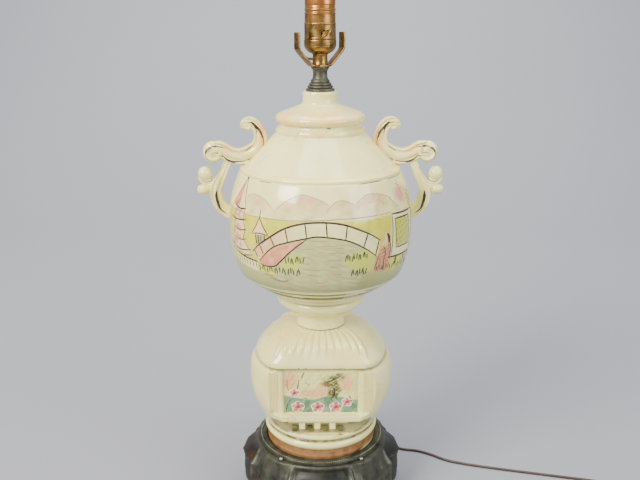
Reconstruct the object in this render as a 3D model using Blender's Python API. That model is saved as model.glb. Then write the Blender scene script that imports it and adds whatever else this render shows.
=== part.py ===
"""Glazed ceramic urn lamp on a pavilion-shaped body, with a cast metal base, a brass bulb socket and a mains cord.

The frame stands on the table plane: Z is up, the origin is under the lamp's axis, and -Y is the front.
Sizes are in millimetres, and MM turns them into Blender's metres when a mesh is made.
"""

import math

import bmesh
import bpy
from mathutils import Matrix, Vector

MM = 0.001
GAP = 0.3

# Heights of the main levels above the table.
DECK_Z = 72.0
RING_TOP_Z = 76.4
EAVE_Z = 193.0
ROOF_TOP_Z = 228.0
URN_FOOT_Z = 229.6
URN_NECK_TOP_Z = 513.0
SPINDLE_TOP_Z = 539.6
SADDLE_Z = 539.9
SADDLE_THICK = 2.0
CAP_FOOT_Z = 542.2
SWITCH_Z = 577.0
INSULATOR_TOP_Z = 583.5
SOCKET_TOP_Z = 617.0

# Main radii and half-widths.
BASE_BULGE_R = 103.0
BASE_WALL = 6.0
BASE_INNER_R = BASE_BULGE_R - BASE_WALL
FOOT_R = 69.0
RING_WIDTH = 9.2
RING_R = FOOT_R + RING_WIDTH
BARREL_R = 89.8
CAVITY_INSET = 9.0
ROOF_HALF_X = 81.0
ROOF_HALF_Y = 62.3
ROOF_STRAIGHT = 48.0
URN_R = 109.2
PIPE_R = 5.0
PIPE_BORE_R = 3.4
PIPE_CLEAR = 0.4
PIPE_HOLE_R = PIPE_R + PIPE_CLEAR
CERAMIC_BORE_R = PIPE_R + 1.0
SHELL_R = 17.9

# Window niche of the pavilion, front and back.
PILASTER_Y = 61.0
LEDGE_Y = 66.0
WINDOW_Y = 57.0
WINDOW_HALF_X = 46.0
LEDGE_LOW_Z = 124.0
LEDGE_TOP_Z = 132.0
WINDOW_TOP_Z = 190.0
FRET_LOW_Z = 106.5

# Handles: thickness front to back.
HANDLE_THICK = 15.0

# Switch key, which points a little to the right of the front.
SWITCH_ANGLE = math.radians(14.0)
KEY_SLANT = math.radians(40.0)

# Harp saddle, turned so that its left arm comes towards the front.
SADDLE_ANGLE = math.radians(34.0)
SADDLE_HALF = 31.5

# Mains cord.
CORD_R = 1.7
BUSHING_Z = 36.0
BUSHING_R = 5.0
COIL_CENTRE = (392.0, -92.0)
COIL_INNER_R = 31.0
COIL_OUTER_R = 43.0
COIL_LOW_Z = 1.4
COIL_HIGH_Z = 9.4
CORD_ROUTE = [
    (0.0, 106.5, 36.0),
    (0.6, 112.0, 35.4),
    (14.0, 123.0, 20.0),
    (38.0, 124.0, 4.5),
    (70.0, 106.0, 1.7),
    (97.0, 82.0, 1.7),
    (117.0, 70.5, 1.7),
    (136.0, 66.5, 1.7),
    (155.0, 56.5, 1.7),
    (175.0, 42.0, 1.7),
    (203.0, 31.5, 1.7),
    (240.0, 21.5, 1.7),
    (280.0, 12.0, 1.7),
    (322.0, 2.0, 1.7),
    (364.0, -8.0, 1.7),
    (402.0, -22.0, 1.7),
    (428.0, -46.0, 2.6),
    (437.0, -72.0, 4.6),
]
TAIL_ROUTE = [
    (402.0, -138.8, 4.6),
    (388.0, -141.6, 4.2),
    (372.0, -142.6, 4.6),
    (356.0, -142.2, 5.8),
    (346.0, -143.2, 6.6),
    (340.0, -146.2, 6.6),
    (336.0, -149.2, 6.6),
]


def clear_scene():
    for old in list(bpy.data.objects):
        bpy.data.objects.remove(old, do_unlink=True)


def material(name, color, roughness, metallic):
    made = bpy.data.materials.new(name)
    made.use_nodes = True
    shader = made.node_tree.nodes["Principled BSDF"]
    shader.inputs["Base Color"].default_value = (*color, 1.0)
    shader.inputs["Roughness"].default_value = roughness
    shader.inputs["Metallic"].default_value = metallic
    return made


def add_object(name, bm, made_of=None, location=(0.0, 0.0, 0.0)):
    """Turns a bmesh in millimetres into an object in metres."""
    bmesh.ops.scale(bm, vec=(MM, MM, MM), verts=bm.verts)
    bmesh.ops.recalc_face_normals(bm, faces=bm.faces)
    mesh = bpy.data.meshes.new(name)
    bm.to_mesh(mesh)
    bm.free()
    obj = bpy.data.objects.new(name, mesh)
    obj.location = Vector(location) * MM
    bpy.context.scene.collection.objects.link(obj)
    if made_of is not None:
        mesh.materials.append(made_of)
    mesh.shade_smooth()
    mesh.set_sharp_from_angle(angle=math.radians(35.0))
    return obj


def hide_helper(obj):
    obj.hide_render = True
    obj.display_type = "WIRE"
    return obj


def boolean(obj, operation, tool):
    """Adds an exact Boolean, and puts the tool away as a helper."""
    modifier = obj.modifiers.new(operation.title(), "BOOLEAN")
    modifier.operation = operation
    modifier.solver = "EXACT"
    modifier.object = tool
    hide_helper(tool)


def circle_points(radius, z, count, start=0.0):
    step = math.tau / count
    return [(radius * math.cos(start + i * step), radius * math.sin(start + i * step), z) for i in range(count)]


def loft(bm, loops, closed_ends=True, ring=False):
    """Bridges a list of loops with the same number of points. A ring joins the last loop to the first."""
    rows = [[bm.verts.new(point) for point in loop] for loop in loops]
    pairs = list(zip(rows, rows[1:]))
    if ring:
        pairs.append((rows[-1], rows[0]))
    for low, high in pairs:
        count = len(low)
        for i in range(count):
            j = (i + 1) % count
            bm.faces.new((low[i], low[j], high[j], high[i]))
    if closed_ends and not ring:
        bm.faces.new(list(reversed(rows[0])))
        bm.faces.new(rows[-1])


def turned(name, profile, made_of, segments=40, hollow=True, location=(0.0, 0.0, 0.0)):
    """A turned piece from (radius, height) points. A hollow piece's profile goes all the way round its wall."""
    bm = bmesh.new()
    loft(bm, [circle_points(r, z, segments) for r, z in profile], ring=hollow)
    return add_object(name, bm, made_of, location)


def turn_to(obj, direction):
    """Turns an object built along +Z so that it points in a direction."""
    obj.rotation_euler = Vector(direction).to_track_quat("Z", "Y").to_euler()
    return obj


def box(bm, low, high):
    centre = [(a + b) / 2 for a, b in zip(low, high)]
    size = [b - a for a, b in zip(low, high)]
    matrix = Matrix.Translation(centre) @ Matrix.Diagonal((*size, 1.0))
    bmesh.ops.create_cube(bm, size=1.0, matrix=matrix)


def rod_tool(name, radius, start, direction, length, segments=20):
    """A plain cylinder for a Boolean, from a start point along a direction."""
    bm = bmesh.new()
    loft(bm, [circle_points(radius, 0.0, segments), circle_points(radius, length, segments)])
    return turn_to(add_object(name, bm, location=start), direction)


def smooth_route(points, spacing):
    """Points along a Catmull-Rom curve through the route's own points."""
    ends = [points[0], *points, points[-1]]
    route = []
    for p0, p1, p2, p3 in zip(ends, ends[1:], ends[2:], ends[3:]):
        a, b, c, d = Vector(p0), Vector(p1), Vector(p2), Vector(p3)
        steps = max(1, round((c - b).length / spacing))
        for i in range(steps):
            t = i / steps
            route.append(
                0.5 * (2 * b + (c - a) * t + (2 * a - 5 * b + 4 * c - d) * t * t + (3 * b - a - 3 * c + d) * t**3)
            )
    route.append(Vector(points[-1]))
    return route


def cord_tube(name, points, radius, made_of, spacing):
    curve = bpy.data.curves.new(name, "CURVE")
    curve.dimensions = "3D"
    curve.bevel_depth = radius * MM
    curve.bevel_resolution = 2
    curve.use_fill_caps = True
    spline = curve.splines.new("POLY")
    route = smooth_route(points, spacing)
    spline.points.add(len(route) - 1)
    for target, point in zip(spline.points, route):
        target.co = (point.x * MM, point.y * MM, max(point.z, radius) * MM, 1.0)
    curve.materials.append(made_of)
    obj = bpy.data.objects.new(name, curve)
    bpy.context.scene.collection.objects.link(obj)
    return obj


# ---------------------------------------------------------------- base


# Angles from a side's middle, in degrees: middle, relief, corner rib, leg edge, leg middle.
BASE_ANGLES = (0.0, 13.0, 26.5, 33.0, 45.0)
# Outer levels, then inner levels, each with a radius and a height for every angle above.
BASE_OUTER = (
    (tuple(RING_R + d for d in (3.3, 3.6, 4.8, 7.2, 7.8)), (72.0,) * 5),
    (tuple(RING_R + d for d in (5.8, 6.0, 7.2, 9.2, 9.8)), (70.5,) * 5),
    ((92.0, 91.5, 89.5, 89.0, 89.0), (61.0,) * 5),
    (tuple(BASE_BULGE_R - d for d in (1.0, 2.5, 8.0, 10.6, 12.4)), (50.0,) * 5),
    (tuple(BASE_BULGE_R - d for d in (0.0, 1.5, 6.5, 8.0, 9.0)), (32.0,) * 5),
    (tuple(BASE_BULGE_R - d for d in (1.5, 2.5, 6.5, 5.5, 5.0)), (20.0, 20.0, 19.0, 16.0, 14.0)),
    (tuple(BASE_BULGE_R - d for d in (3.5, 4.0, 7.0, 0.0, -2.0)), (18.0, 18.0, 16.0, 2.3, 2.3)),
)
BASE_INNER = (
    (tuple(BASE_INNER_R - d for d in (2.0, 2.5, 7.0, 12.0, 13.0)), (18.0, 18.0, 16.0, 2.3, 2.3)),
    (tuple(BASE_INNER_R - d for d in (0.0, 1.5, 6.5, 10.0, 12.0)), (32.0,) * 5),
    (tuple(BASE_INNER_R - d for d in (3.0, 4.5, 9.0, 11.0, 13.0)), (50.0,) * 5),
    ((77.0, 77.0, 77.0, 77.0, 77.0), (66.0,) * 5),
)


def base_loop(radii, heights):
    """A loop with the same eighth repeated, mirrored, round the axis."""
    eighth = list(zip(BASE_ANGLES, radii, heights))
    quarter = eighth + [(90.0 - a, r, z) for a, r, z in reversed(eighth[1:-1])]
    loop = []
    for turn in range(4):
        for angle, radius, z in quarter:
            spin = math.radians(angle + 90.0 * turn)
            loop.append((radius * math.cos(spin), radius * math.sin(spin), z))
    return loop


def make_base(bronze):
    count = len(base_loop(*BASE_OUTER[0]))
    hole = [circle_points(PIPE_HOLE_R, z, count) for z in (66.0, DECK_Z)]
    loops = [base_loop(*level) for level in BASE_OUTER + BASE_INNER] + hole
    bm = bmesh.new()
    loft(bm, loops, ring=True)
    base = add_object("base_casting", bm, bronze)
    boolean(base, "DIFFERENCE", rod_tool("bushing_hole", BUSHING_R + 0.3, (0.0, BASE_BULGE_R - 13.0, BUSHING_Z), (0, 1, 0), 20.0))
    for i, (x, y) in enumerate(ring_screw_places()):
        boolean(base, "DIFFERENCE", rod_tool(f"screw_hole_{i}", 1.8, (x, y, 60.0), (0, 0, 1), 20.0, 12))


def ring_screw_places():
    """Four screws just outside the beaded ring, over the legs."""
    radius = RING_R + 3.7
    angle = math.radians(37.0)
    x, y = radius * math.sin(angle), radius * math.cos(angle)
    return [(-x, -y), (x, -y), (x, y), (-x, y)]


def make_ring(bronze, steel):
    """The beaded gallery ring and the four screws whose heads hold its lip."""
    low = DECK_Z + GAP
    profile = [
        (FOOT_R + 0.5, low),
        (RING_R + 1.7, low),
        (RING_R + 1.7, low + 1.2),
        (RING_R, low + 1.3),
        (RING_R, low + 2.4),
        (RING_R - 1.6, RING_TOP_Z - 0.4),
        (RING_R - 4.2, RING_TOP_Z),
        (FOOT_R + 2.2, RING_TOP_Z),
        (FOOT_R + 0.5, RING_TOP_Z - 1.4),
    ]
    turned("beaded_ring", profile, bronze, segments=48)
    head_low = low + 1.5
    screw = [
        (1.5, 64.0),
        (1.5, head_low),
        (2.4, head_low),
        (2.4, head_low + 0.9),
        (1.4, head_low + 1.7),
    ]
    for i, (x, y) in enumerate(ring_screw_places()):
        turned(f"ring_screw_{i + 1}", screw, steel, 12, hollow=False, location=(x, y, 0.0))


def make_pads(felt):
    radius = BASE_BULGE_R - 8.0
    for i in range(4):
        angle = math.radians(45.0 + 90.0 * i)
        place = (radius * math.cos(angle), radius * math.sin(angle), 0.0)
        turned(f"foot_pad_{i + 1}", [(8.0, 0.0), (8.0, 2.0)], felt, 20, hollow=False, location=place)


def hexagon_points(half_flat, z, count=24):
    """Points round a hexagon, as many as on the bore inside it."""
    points = []
    for i in range(count):
        angle = math.tau * i / count
        radius = half_flat / math.cos((angle + math.pi / 6) % (math.pi / 3) - math.pi / 6)
        points.append((radius * math.cos(angle), radius * math.sin(angle), z))
    return points


def make_base_nut(steel):
    low, high = 57.0, 63.9
    bore, half_flat = PIPE_HOLE_R, PIPE_HOLE_R + 4.1
    bm = bmesh.new()
    loft(
        bm,
        [
            circle_points(bore, high, 24),
            circle_points(bore, low, 24),
            hexagon_points(half_flat, low),
            hexagon_points(half_flat, high),
        ],
        ring=True,
    )
    add_object("base_nut", bm, steel)


def make_pipe_hardware(steel, felt):
    """The threaded pipe with its washer and nut under the base, and the felt rings between the stacked bodies."""
    turned("base_washer", [(PIPE_HOLE_R, 64.2), (19.0, 64.2), (19.0, 65.7), (PIPE_HOLE_R, 65.7)], steel, 32)
    make_base_nut(steel)
    pipe = [
        (PIPE_BORE_R, 50.0),
        (PIPE_R, 50.0),
        (PIPE_R, CAP_FOOT_Z + 9.0),
        (PIPE_BORE_R, CAP_FOOT_Z + 9.0),
    ]
    turned("lamp_pipe", pipe, steel, 24)
    low = DECK_Z + GAP
    near, far = FOOT_R - 11.0, FOOT_R - 1.5
    turned("base_felt", [(near, low), (far, low), (far, low + 0.9), (near, low + 0.9)], felt, 32)
    low = ROOF_TOP_Z + GAP
    turned("urn_felt", [(12.0, low), (27.5, low), (27.5, low + 1.0), (12.0, low + 1.0)], felt, 32)


# ---------------------------------------------------------------- ceramic bodies


def roof_loop(half_x, half_y, straight, z, count_corner=7):
    """A plan with straight front and back edges and half-elliptic ends."""
    points = []
    for side in (1, -1):
        for i in range(2 * count_corner - 1):
            t = -math.pi / 2 + math.pi * i / (2 * count_corner - 2)
            points.append((side * (straight + (half_x - straight) * math.cos(t)), side * half_y * math.sin(t), z))
    return points


def roof_solid():
    """The roof swells from a round crown to an eave with straight front and back edges."""
    crown_r = 30.5
    rise = ROOF_TOP_Z - EAVE_Z - 6.0
    loops = [roof_loop(ROOF_HALF_X - 2.0, ROOF_HALF_Y - 2.0, ROOF_STRAIGHT, EAVE_Z - 1.5)]
    loops.append(roof_loop(ROOF_HALF_X, ROOF_HALF_Y, ROOF_STRAIGHT, EAVE_Z))
    loops.append(roof_loop(ROOF_HALF_X, ROOF_HALF_Y, ROOF_STRAIGHT, EAVE_Z + 3.5))
    steps = 7
    for i in range(1, steps + 1):
        s = 1.0 - i / steps
        swell = s**0.85
        half_x = crown_r + (ROOF_HALF_X - 0.4 - crown_r) * swell
        half_y = crown_r + (ROOF_HALF_Y - 0.4 - crown_r) * swell
        z = ROOF_TOP_Z - rise * s**2.3
        loops.append(roof_loop(half_x, half_y, ROOF_STRAIGHT * s, z))
    bm = bmesh.new()
    loft(bm, loops)
    return add_object("roof_solid", bm)


def barrel_profile():
    """The outer wall from the foot up: foot band, round moulding, groove, thin plinth ring, swelling barrel."""
    low = DECK_Z + 1.6
    profile = [(FOOT_R, low), (FOOT_R, 88.6)]
    torus_r, torus_z, bead = FOOT_R - 2.4, 93.2, 5.2
    plinth_r = FOOT_R + 2.2
    swell = BARREL_R - plinth_r
    for degrees in (-50, -20, 10, 40, 70):
        angle = math.radians(degrees)
        profile.append((torus_r + bead * math.cos(angle), torus_z + bead * math.sin(angle)))
    profile += [(FOOT_R - 2.6, 98.6), (FOOT_R - 2.6, 100.4), (FOOT_R + 0.6, 101.4), (FOOT_R + 1.2, 103.0)]
    profile += [(FOOT_R + 1.2, 106.0), (plinth_r, 107.0)]
    for share, z in ((0.2204, 112.0), (0.5054, 124.0), (0.7742, 138.0), (0.9462, 152.0), (1.0, 164.5)):
        profile.append((plinth_r + share * swell, z))
    for inset, z in ((0.6, 176.0), (3.2, 186.0), (7.8, 193.5), (19.8, 197.0)):
        profile.append((BARREL_R - inset, z))
    return profile


def ellipse_loop(half_x, half_y, z, count=32):
    step = math.tau / count
    return [(half_x * math.cos(i * step), half_y * math.sin(i * step), z) for i in range(count)]


def niche_tool():
    """Cuts the flat pilaster face, the ledge and the fret band, in front and behind."""
    outer = 130.0
    section = [
        (outer, 200.0),
        (PILASTER_Y, 200.0),
        (PILASTER_Y, LEDGE_TOP_Z),
        (LEDGE_Y, LEDGE_TOP_Z),
        (LEDGE_Y, LEDGE_LOW_Z),
        (WINDOW_Y, LEDGE_LOW_Z),
        (WINDOW_Y, FRET_LOW_Z),
        (outer, FRET_LOW_Z),
    ]
    bm = bmesh.new()
    for side in (-1, 1):
        ends = [[(x, side * y, z) for y, z in section] for x in (-110.0, 110.0)]
        loft(bm, ends)
    return add_object("niche_tool", bm)


def window_tool():
    bm = bmesh.new()
    for side in (-1, 1):
        low_y, high_y = sorted((side * WINDOW_Y, side * 130.0))
        box(bm, (-WINDOW_HALF_X, low_y, LEDGE_TOP_Z), (WINDOW_HALF_X, high_y, WINDOW_TOP_Z))
    return add_object("window_tool", bm)


def cavity_tool():
    """The space inside the slip-cast wall, open at the foot, with the pipe's hole at the crown."""
    inner_x = FOOT_R - CAVITY_INSET
    inner_y = min(WINDOW_Y - 7.0, inner_x)
    loops = [
        ellipse_loop(inner_x - 1.0, inner_y + 1.0, 60.0),
        ellipse_loop(inner_x, inner_y + 0.5, 104.0),
        ellipse_loop(BARREL_R - 13.8, WINDOW_Y - 7.0, 130.0),
        ellipse_loop(BARREL_R - 7.8, WINDOW_Y - 7.0, 160.0),
        ellipse_loop(BARREL_R - 13.8, WINDOW_Y - 7.0, 184.0),
        ellipse_loop(BARREL_R - 27.8, WINDOW_Y - 11.0, 200.0),
        ellipse_loop(40.0, 34.0, 214.0),
        ellipse_loop(20.0, 20.0, 221.0),
        ellipse_loop(CERAMIC_BORE_R, CERAMIC_BORE_R, 221.6),
        ellipse_loop(CERAMIC_BORE_R, CERAMIC_BORE_R, 240.0),
    ]
    bm = bmesh.new()
    loft(bm, loops)
    return add_object("cavity_tool", bm)


def make_lower_body(glaze):
    bm = bmesh.new()
    loft(bm, [circle_points(r, z, 48) for r, z in barrel_profile()])
    body = add_object("lower_body", bm, glaze)
    boolean(body, "DIFFERENCE", niche_tool())
    boolean(body, "DIFFERENCE", window_tool())
    boolean(body, "UNION", roof_solid())
    boolean(body, "DIFFERENCE", cavity_tool())


def urn_profile():
    """The urn's outer wall from the foot up to the neck."""
    return [
        (29.8, URN_FOOT_Z),
        (29.2, 242.0),
        (38.0, 250.5),
        (47.0, 255.5),
        (53.2, 260.5),
        (53.6, 264.5),
        (50.5, 269.5),
        (57.0, 271.5),
        (57.0, 274.5),
        (75.0, 285.0),
        (90.0, 295.2),
        (98.2, 302.5),
        (103.2, 316.0),
        (107.4, 335.0),
        (URN_R, 362.0),
        (107.0, 387.0),
        (99.6, 411.0),
        (95.0, 422.5),
        (94.2, 425.5),
        (89.0, 428.4),
        (76.0, 433.0),
        (63.0, 440.2),
        (54.0, 448.6),
        (49.6, 456.0),
        (48.8, 461.4),
        (51.2, 463.2),
        (51.2, 471.0),
        (47.5, 474.4),
        (47.5, 477.0),
        (51.8, 480.2),
        (52.2, 484.0),
        (49.0, 487.4),
        (40.0, 491.4),
        (30.0, 495.4),
        (22.2, 498.0),
        (20.2, 502.0),
        (20.0, URN_NECK_TOP_Z),
    ]


def urn_inner_profile():
    """The inner wall from the neck down, about 7 mm inside the outer one."""
    return [
        (CERAMIC_BORE_R, URN_NECK_TOP_Z),
        (CERAMIC_BORE_R, 505.0),
        (13.0, 503.0),
        (14.0, 492.0),
        (40.0, 482.0),
        (41.0, 456.0),
        (86.0, 420.0),
        (99.0, 388.0),
        (102.0, 362.0),
        (91.0, 308.0),
        (46.0, 280.0),
        (20.0, 250.0),
        (CERAMIC_BORE_R, 238.0),
        (CERAMIC_BORE_R, URN_FOOT_Z),
    ]


def make_urn(glaze):
    turned("urn_body", urn_profile() + urn_inner_profile(), glaze, segments=40)


# Handle scroll centrelines on the right: distance from the axis, height, and width of the band.
UPPER_SCROLL = [
    (84.0, 473.5, 9.0),
    (78.5, 477.0, 12.0),
    (71.8, 470.5, 13.0),
    (70.4, 458.0, 17.0),
    (75.5, 446.5, 21.0),
    (88.0, 438.6, 20.5),
    (104.0, 438.6, 19.0),
    (116.0, 443.6, 17.0),
    (124.0, 444.5, 16.0),
]
LOWER_SCROLL = [
    (107.5, 434.0, 8.0),
    (111.5, 427.0, 9.5),
    (117.6, 415.5, 11.0),
    (122.6, 403.0, 12.5),
    (123.9, 392.0, 14.5),
    (121.0, 380.5, 15.5),
    (115.0, 371.5, 13.5),
    (104.0, 366.0, 12.0),
]
CURL_TAIL = [(119.0, 411.0, 5.0), (126.5, 408.2, 6.0), (136.0, 407.6, 5.0)]
# Scroll bosses and the leaf: distance from the axis, height, half-width, half-height.
SCROLL_BOSSES = [(84.6, 474.5, 7.0, 7.6), (126.2, 443.0, 12.6, 13.4), (136.8, 415.6, 8.0, 8.6)]
LEAF_BUD = (138.0, 397.6, 8.6, 6.4)


def band_solid(name, side, line, thick):
    """A flat scroll band: an eight-sided section swept along a centreline in the XZ plane."""
    loops = []
    for i, (r, z, width) in enumerate(line):
        before, after = line[max(0, i - 1)], line[min(len(line) - 1, i + 1)]
        along = Vector((after[0] - before[0], after[1] - before[1])).normalized()
        across = Vector((-along.y, along.x))
        loop = []
        for k in range(8):
            angle = math.radians(22.5 + 45.0 * k)
            off = across * (width / 2 * math.cos(angle) / math.cos(math.radians(22.5)))
            y = thick / 2 * math.sin(angle) / math.cos(math.radians(22.5))
            loop.append((side * (r + off.x), y, z + off.y))
        loops.append(loop)
    bm = bmesh.new()
    loft(bm, loops)
    return add_object(name, bm)


def boss_solid(name, side, boss, thick, count=16):
    r, z, half_x, half_z = boss
    bm = bmesh.new()
    loops = []
    for y, shrink in ((-thick / 2, 0.8), (-thick / 3, 1.0), (thick / 3, 1.0), (thick / 2, 0.8)):
        step = math.tau / count
        loops.append(
            [
                (side * r + half_x * shrink * math.cos(i * step), y, z + half_z * shrink * math.sin(i * step))
                for i in range(count)
            ]
        )
    loft(bm, loops)
    return add_object(name, bm)


def urn_tool(name):
    """The urn's outer surface grown by the joint gap, to seat a handle against it."""
    grown = [(r + GAP + 0.05, z) for r, z in urn_profile()]
    bm = bmesh.new()
    loft(bm, [circle_points(r, z, 40) for r, z in grown])
    return add_object(name, bm)


def make_handle(name, side, glaze):
    handle = band_solid(name, side, UPPER_SCROLL, HANDLE_THICK)
    handle.data.materials.append(glaze)
    boolean(handle, "UNION", band_solid(f"{name}_lower", side, LOWER_SCROLL, HANDLE_THICK - 2.0))
    boolean(handle, "UNION", band_solid(f"{name}_tail", side, CURL_TAIL, HANDLE_THICK - 4.0))
    for i, boss in enumerate(SCROLL_BOSSES):
        boolean(handle, "UNION", boss_solid(f"{name}_boss_{i}", side, boss, HANDLE_THICK + 1.0))
    boolean(handle, "UNION", boss_solid(f"{name}_leaf", side, LEAF_BUD, HANDLE_THICK - 3.0))
    boolean(handle, "DIFFERENCE", urn_tool(f"{name}_seat"))


# ---------------------------------------------------------------- neck, saddle and socket


def make_neck_spindle(bronze):
    low = URN_NECK_TOP_Z + GAP
    profile = [
        (PIPE_HOLE_R, low),
        (16.3, low),
        (16.3, low + 1.8),
        (13.6, low + 3.2),
        (14.4, low + 4.6),
        (12.4, low + 6.4),
        (12.6, low + 8.0),
        (10.4, low + 9.6),
        (10.6, low + 12.0),
        (8.4, low + 15.0),
        (8.2, low + 20.0),
        (9.4, low + 23.6),
        (10.4, SPINDLE_TOP_Z - 1.2),
        (10.4, SPINDLE_TOP_Z),
        (PIPE_HOLE_R, SPINDLE_TOP_Z),
    ]
    turned("neck_spindle", profile, bronze, 24)


def make_saddle(brass):
    """A bent strip with an eye on the pipe and two upright tips for the shade harp."""
    half_width = 5.0
    line = [
        (-SADDLE_HALF, SADDLE_Z + 38.0),
        (-SADDLE_HALF, SADDLE_Z + 21.0),
        (-27.5, SADDLE_Z + 15.0),
        (-13.5, SADDLE_Z + 1.2),
        (-9.0, SADDLE_Z),
        (9.0, SADDLE_Z),
        (13.5, SADDLE_Z + 1.2),
        (27.5, SADDLE_Z + 15.0),
        (SADDLE_HALF, SADDLE_Z + 21.0),
        (SADDLE_HALF, SADDLE_Z + 38.0),
    ]
    loops = []
    for i, (x, z) in enumerate(line):
        before, after = line[max(0, i - 1)], line[min(len(line) - 1, i + 1)]
        along = Vector((after[0] - before[0], after[1] - before[1])).normalized()
        up = Vector((-along.y, along.x)) * SADDLE_THICK
        width = 9.0 if abs(x) < 10.0 else half_width
        loops.append(
            [(x, -width, z), (x, width, z), (x + up.x, width, z + up.y), (x + up.x, -width, z + up.y)]
        )
    bm = bmesh.new()
    loft(bm, loops)
    saddle = add_object("harp_saddle", bm, brass)
    saddle.rotation_euler = (0.0, 0.0, SADDLE_ANGLE)
    boolean(saddle, "DIFFERENCE", rod_tool("saddle_eye", PIPE_HOLE_R, (0, 0, 530.0), (0, 0, 1), 20.0, 24))


def make_socket_cap(brass, steel):
    foot = CAP_FOOT_Z
    profile = [
        (PIPE_R + GAP, foot),
        (9.4, foot),
        (8.5, foot + 3.0),
        (8.5, foot + 10.8),
        (12.4, foot + 13.4),
        (SHELL_R - 1.3, foot + 17.6),
        (SHELL_R + 0.4, foot + 21.0),
        (SHELL_R + 0.4, foot + 27.3),
        (SHELL_R - 0.2, foot + 27.3),
        (SHELL_R - 0.2, foot + 21.2),
        (SHELL_R - 1.7, foot + 18.2),
        (12.0, foot + 14.2),
        (PIPE_R + GAP, foot + 11.6),
    ]
    cap = turned("socket_cap", profile, brass, 32)
    screw_z = foot + 6.4
    out = Vector((-math.cos(math.radians(4.0)), math.sin(math.radians(4.0)), 0.0))
    boolean(cap, "DIFFERENCE", rod_tool("set_screw_hole", 1.8, (0, 0, screw_z), out, 14.0, 14))
    screw = [(1.5, PIPE_R + 0.5), (1.5, 14.2), (2.6, 14.2), (2.6, 17.4), (1.8, 18.2)]
    made = turned("cap_set_screw", screw, steel, 14, hollow=False, location=(0.0, 0.0, screw_z))
    turn_to(made, out)


def switch_direction():
    return Vector((math.sin(SWITCH_ANGLE), -math.cos(SWITCH_ANGLE), 0.0))


def switch_hole(name, radius, start, length):
    out = switch_direction()
    place = out * start
    return rod_tool(name, radius, (place.x, place.y, SWITCH_Z), out, length, 20)


def make_socket_shell(brass, card):
    foot = CAP_FOOT_Z
    skirt = foot + 21.0
    step = SWITCH_Z + 9.6
    wall = 0.6
    outer = [
        (SHELL_R - 0.6, skirt),
        (SHELL_R - 0.6, foot + 27.4),
        (SHELL_R, foot + 27.9),
        (SHELL_R, step - 1.0),
        (SHELL_R - 0.8, step),
        (SHELL_R - 0.8, SOCKET_TOP_Z - 1.2),
        (SHELL_R - 0.5, SOCKET_TOP_Z),
    ]
    inner = [(r - wall, z) for r, z in reversed(outer)]
    shell = turned("socket_shell", outer + inner, brass, 32)
    boolean(shell, "DIFFERENCE", switch_hole("shell_switch_hole", 3.2, SHELL_R - 7.9, 12.0))
    low, high = foot + 24.5, SOCKET_TOP_Z - 1.5
    near, far = SHELL_R - 2.7, SHELL_R - 1.7
    sleeve = turned("shell_liner", [(near, low), (far, low), (far, high), (near, high)], card, 24)
    boolean(sleeve, "DIFFERENCE", switch_hole("liner_switch_hole", 3.2, SHELL_R - 7.9, 12.0))


def make_insulator(phenolic, steel):
    """The moulded block that holds the switch, the wire screws, the centre contact and the screw shell."""
    low = CAP_FOOT_Z + 15.0
    profile = [
        (9.0, low),
        (SHELL_R - 3.1, low + 4.0),
        (SHELL_R - 3.1, INSULATOR_TOP_Z - 1.0),
        (SHELL_R - 4.1, INSULATOR_TOP_Z),
        (2.7, INSULATOR_TOP_Z),
        (2.7, INSULATOR_TOP_Z - 8.0),
        (1.0, INSULATOR_TOP_Z - 8.6),
        (1.0, low),
    ]
    block = turned("socket_insulator", profile, phenolic, 24)
    boolean(block, "DIFFERENCE", switch_hole("switch_bore", 2.9, SHELL_R - 11.4, 14.0))
    screw_z = CAP_FOOT_Z + 20.6
    for side, name in ((-1, "terminal_screw_live"), (1, "terminal_screw_neutral")):
        out = (side, 0.0, 0.0)
        start = SHELL_R - 7.9
        boolean(block, "DIFFERENCE", rod_tool(f"{name}_hole", 1.4, (side * start, 0, screw_z), out, 8.0, 12))
        shank, head, top = SHELL_R - 7.4, SHELL_R - 2.8, SHELL_R - 1.8
        screw = [(1.1, shank), (1.1, head), (2.1, head), (2.1, top), (1.6, top + 0.4)]
        made = turned(name, screw, steel, 12, hollow=False, location=(0.0, 0.0, screw_z))
        turn_to(made, out)


def make_screw_shell(aluminium, brass):
    low = INSULATOR_TOP_Z + GAP
    high = low + 26.0
    profile = [
        (6.0, low),
        (14.4, low),
        (14.4, high),
        (13.5, high),
        (13.5, low + 0.7),
        (6.0, low + 0.7),
    ]
    turned("screw_shell", profile, aluminium, 24)
    contact = [(2.2, INSULATOR_TOP_Z - 5.6), (2.2, low + 1.9), (4.4, low + 2.4), (3.6, low + 4.0)]
    turned("centre_contact", contact, brass, 20, hollow=False)


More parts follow.
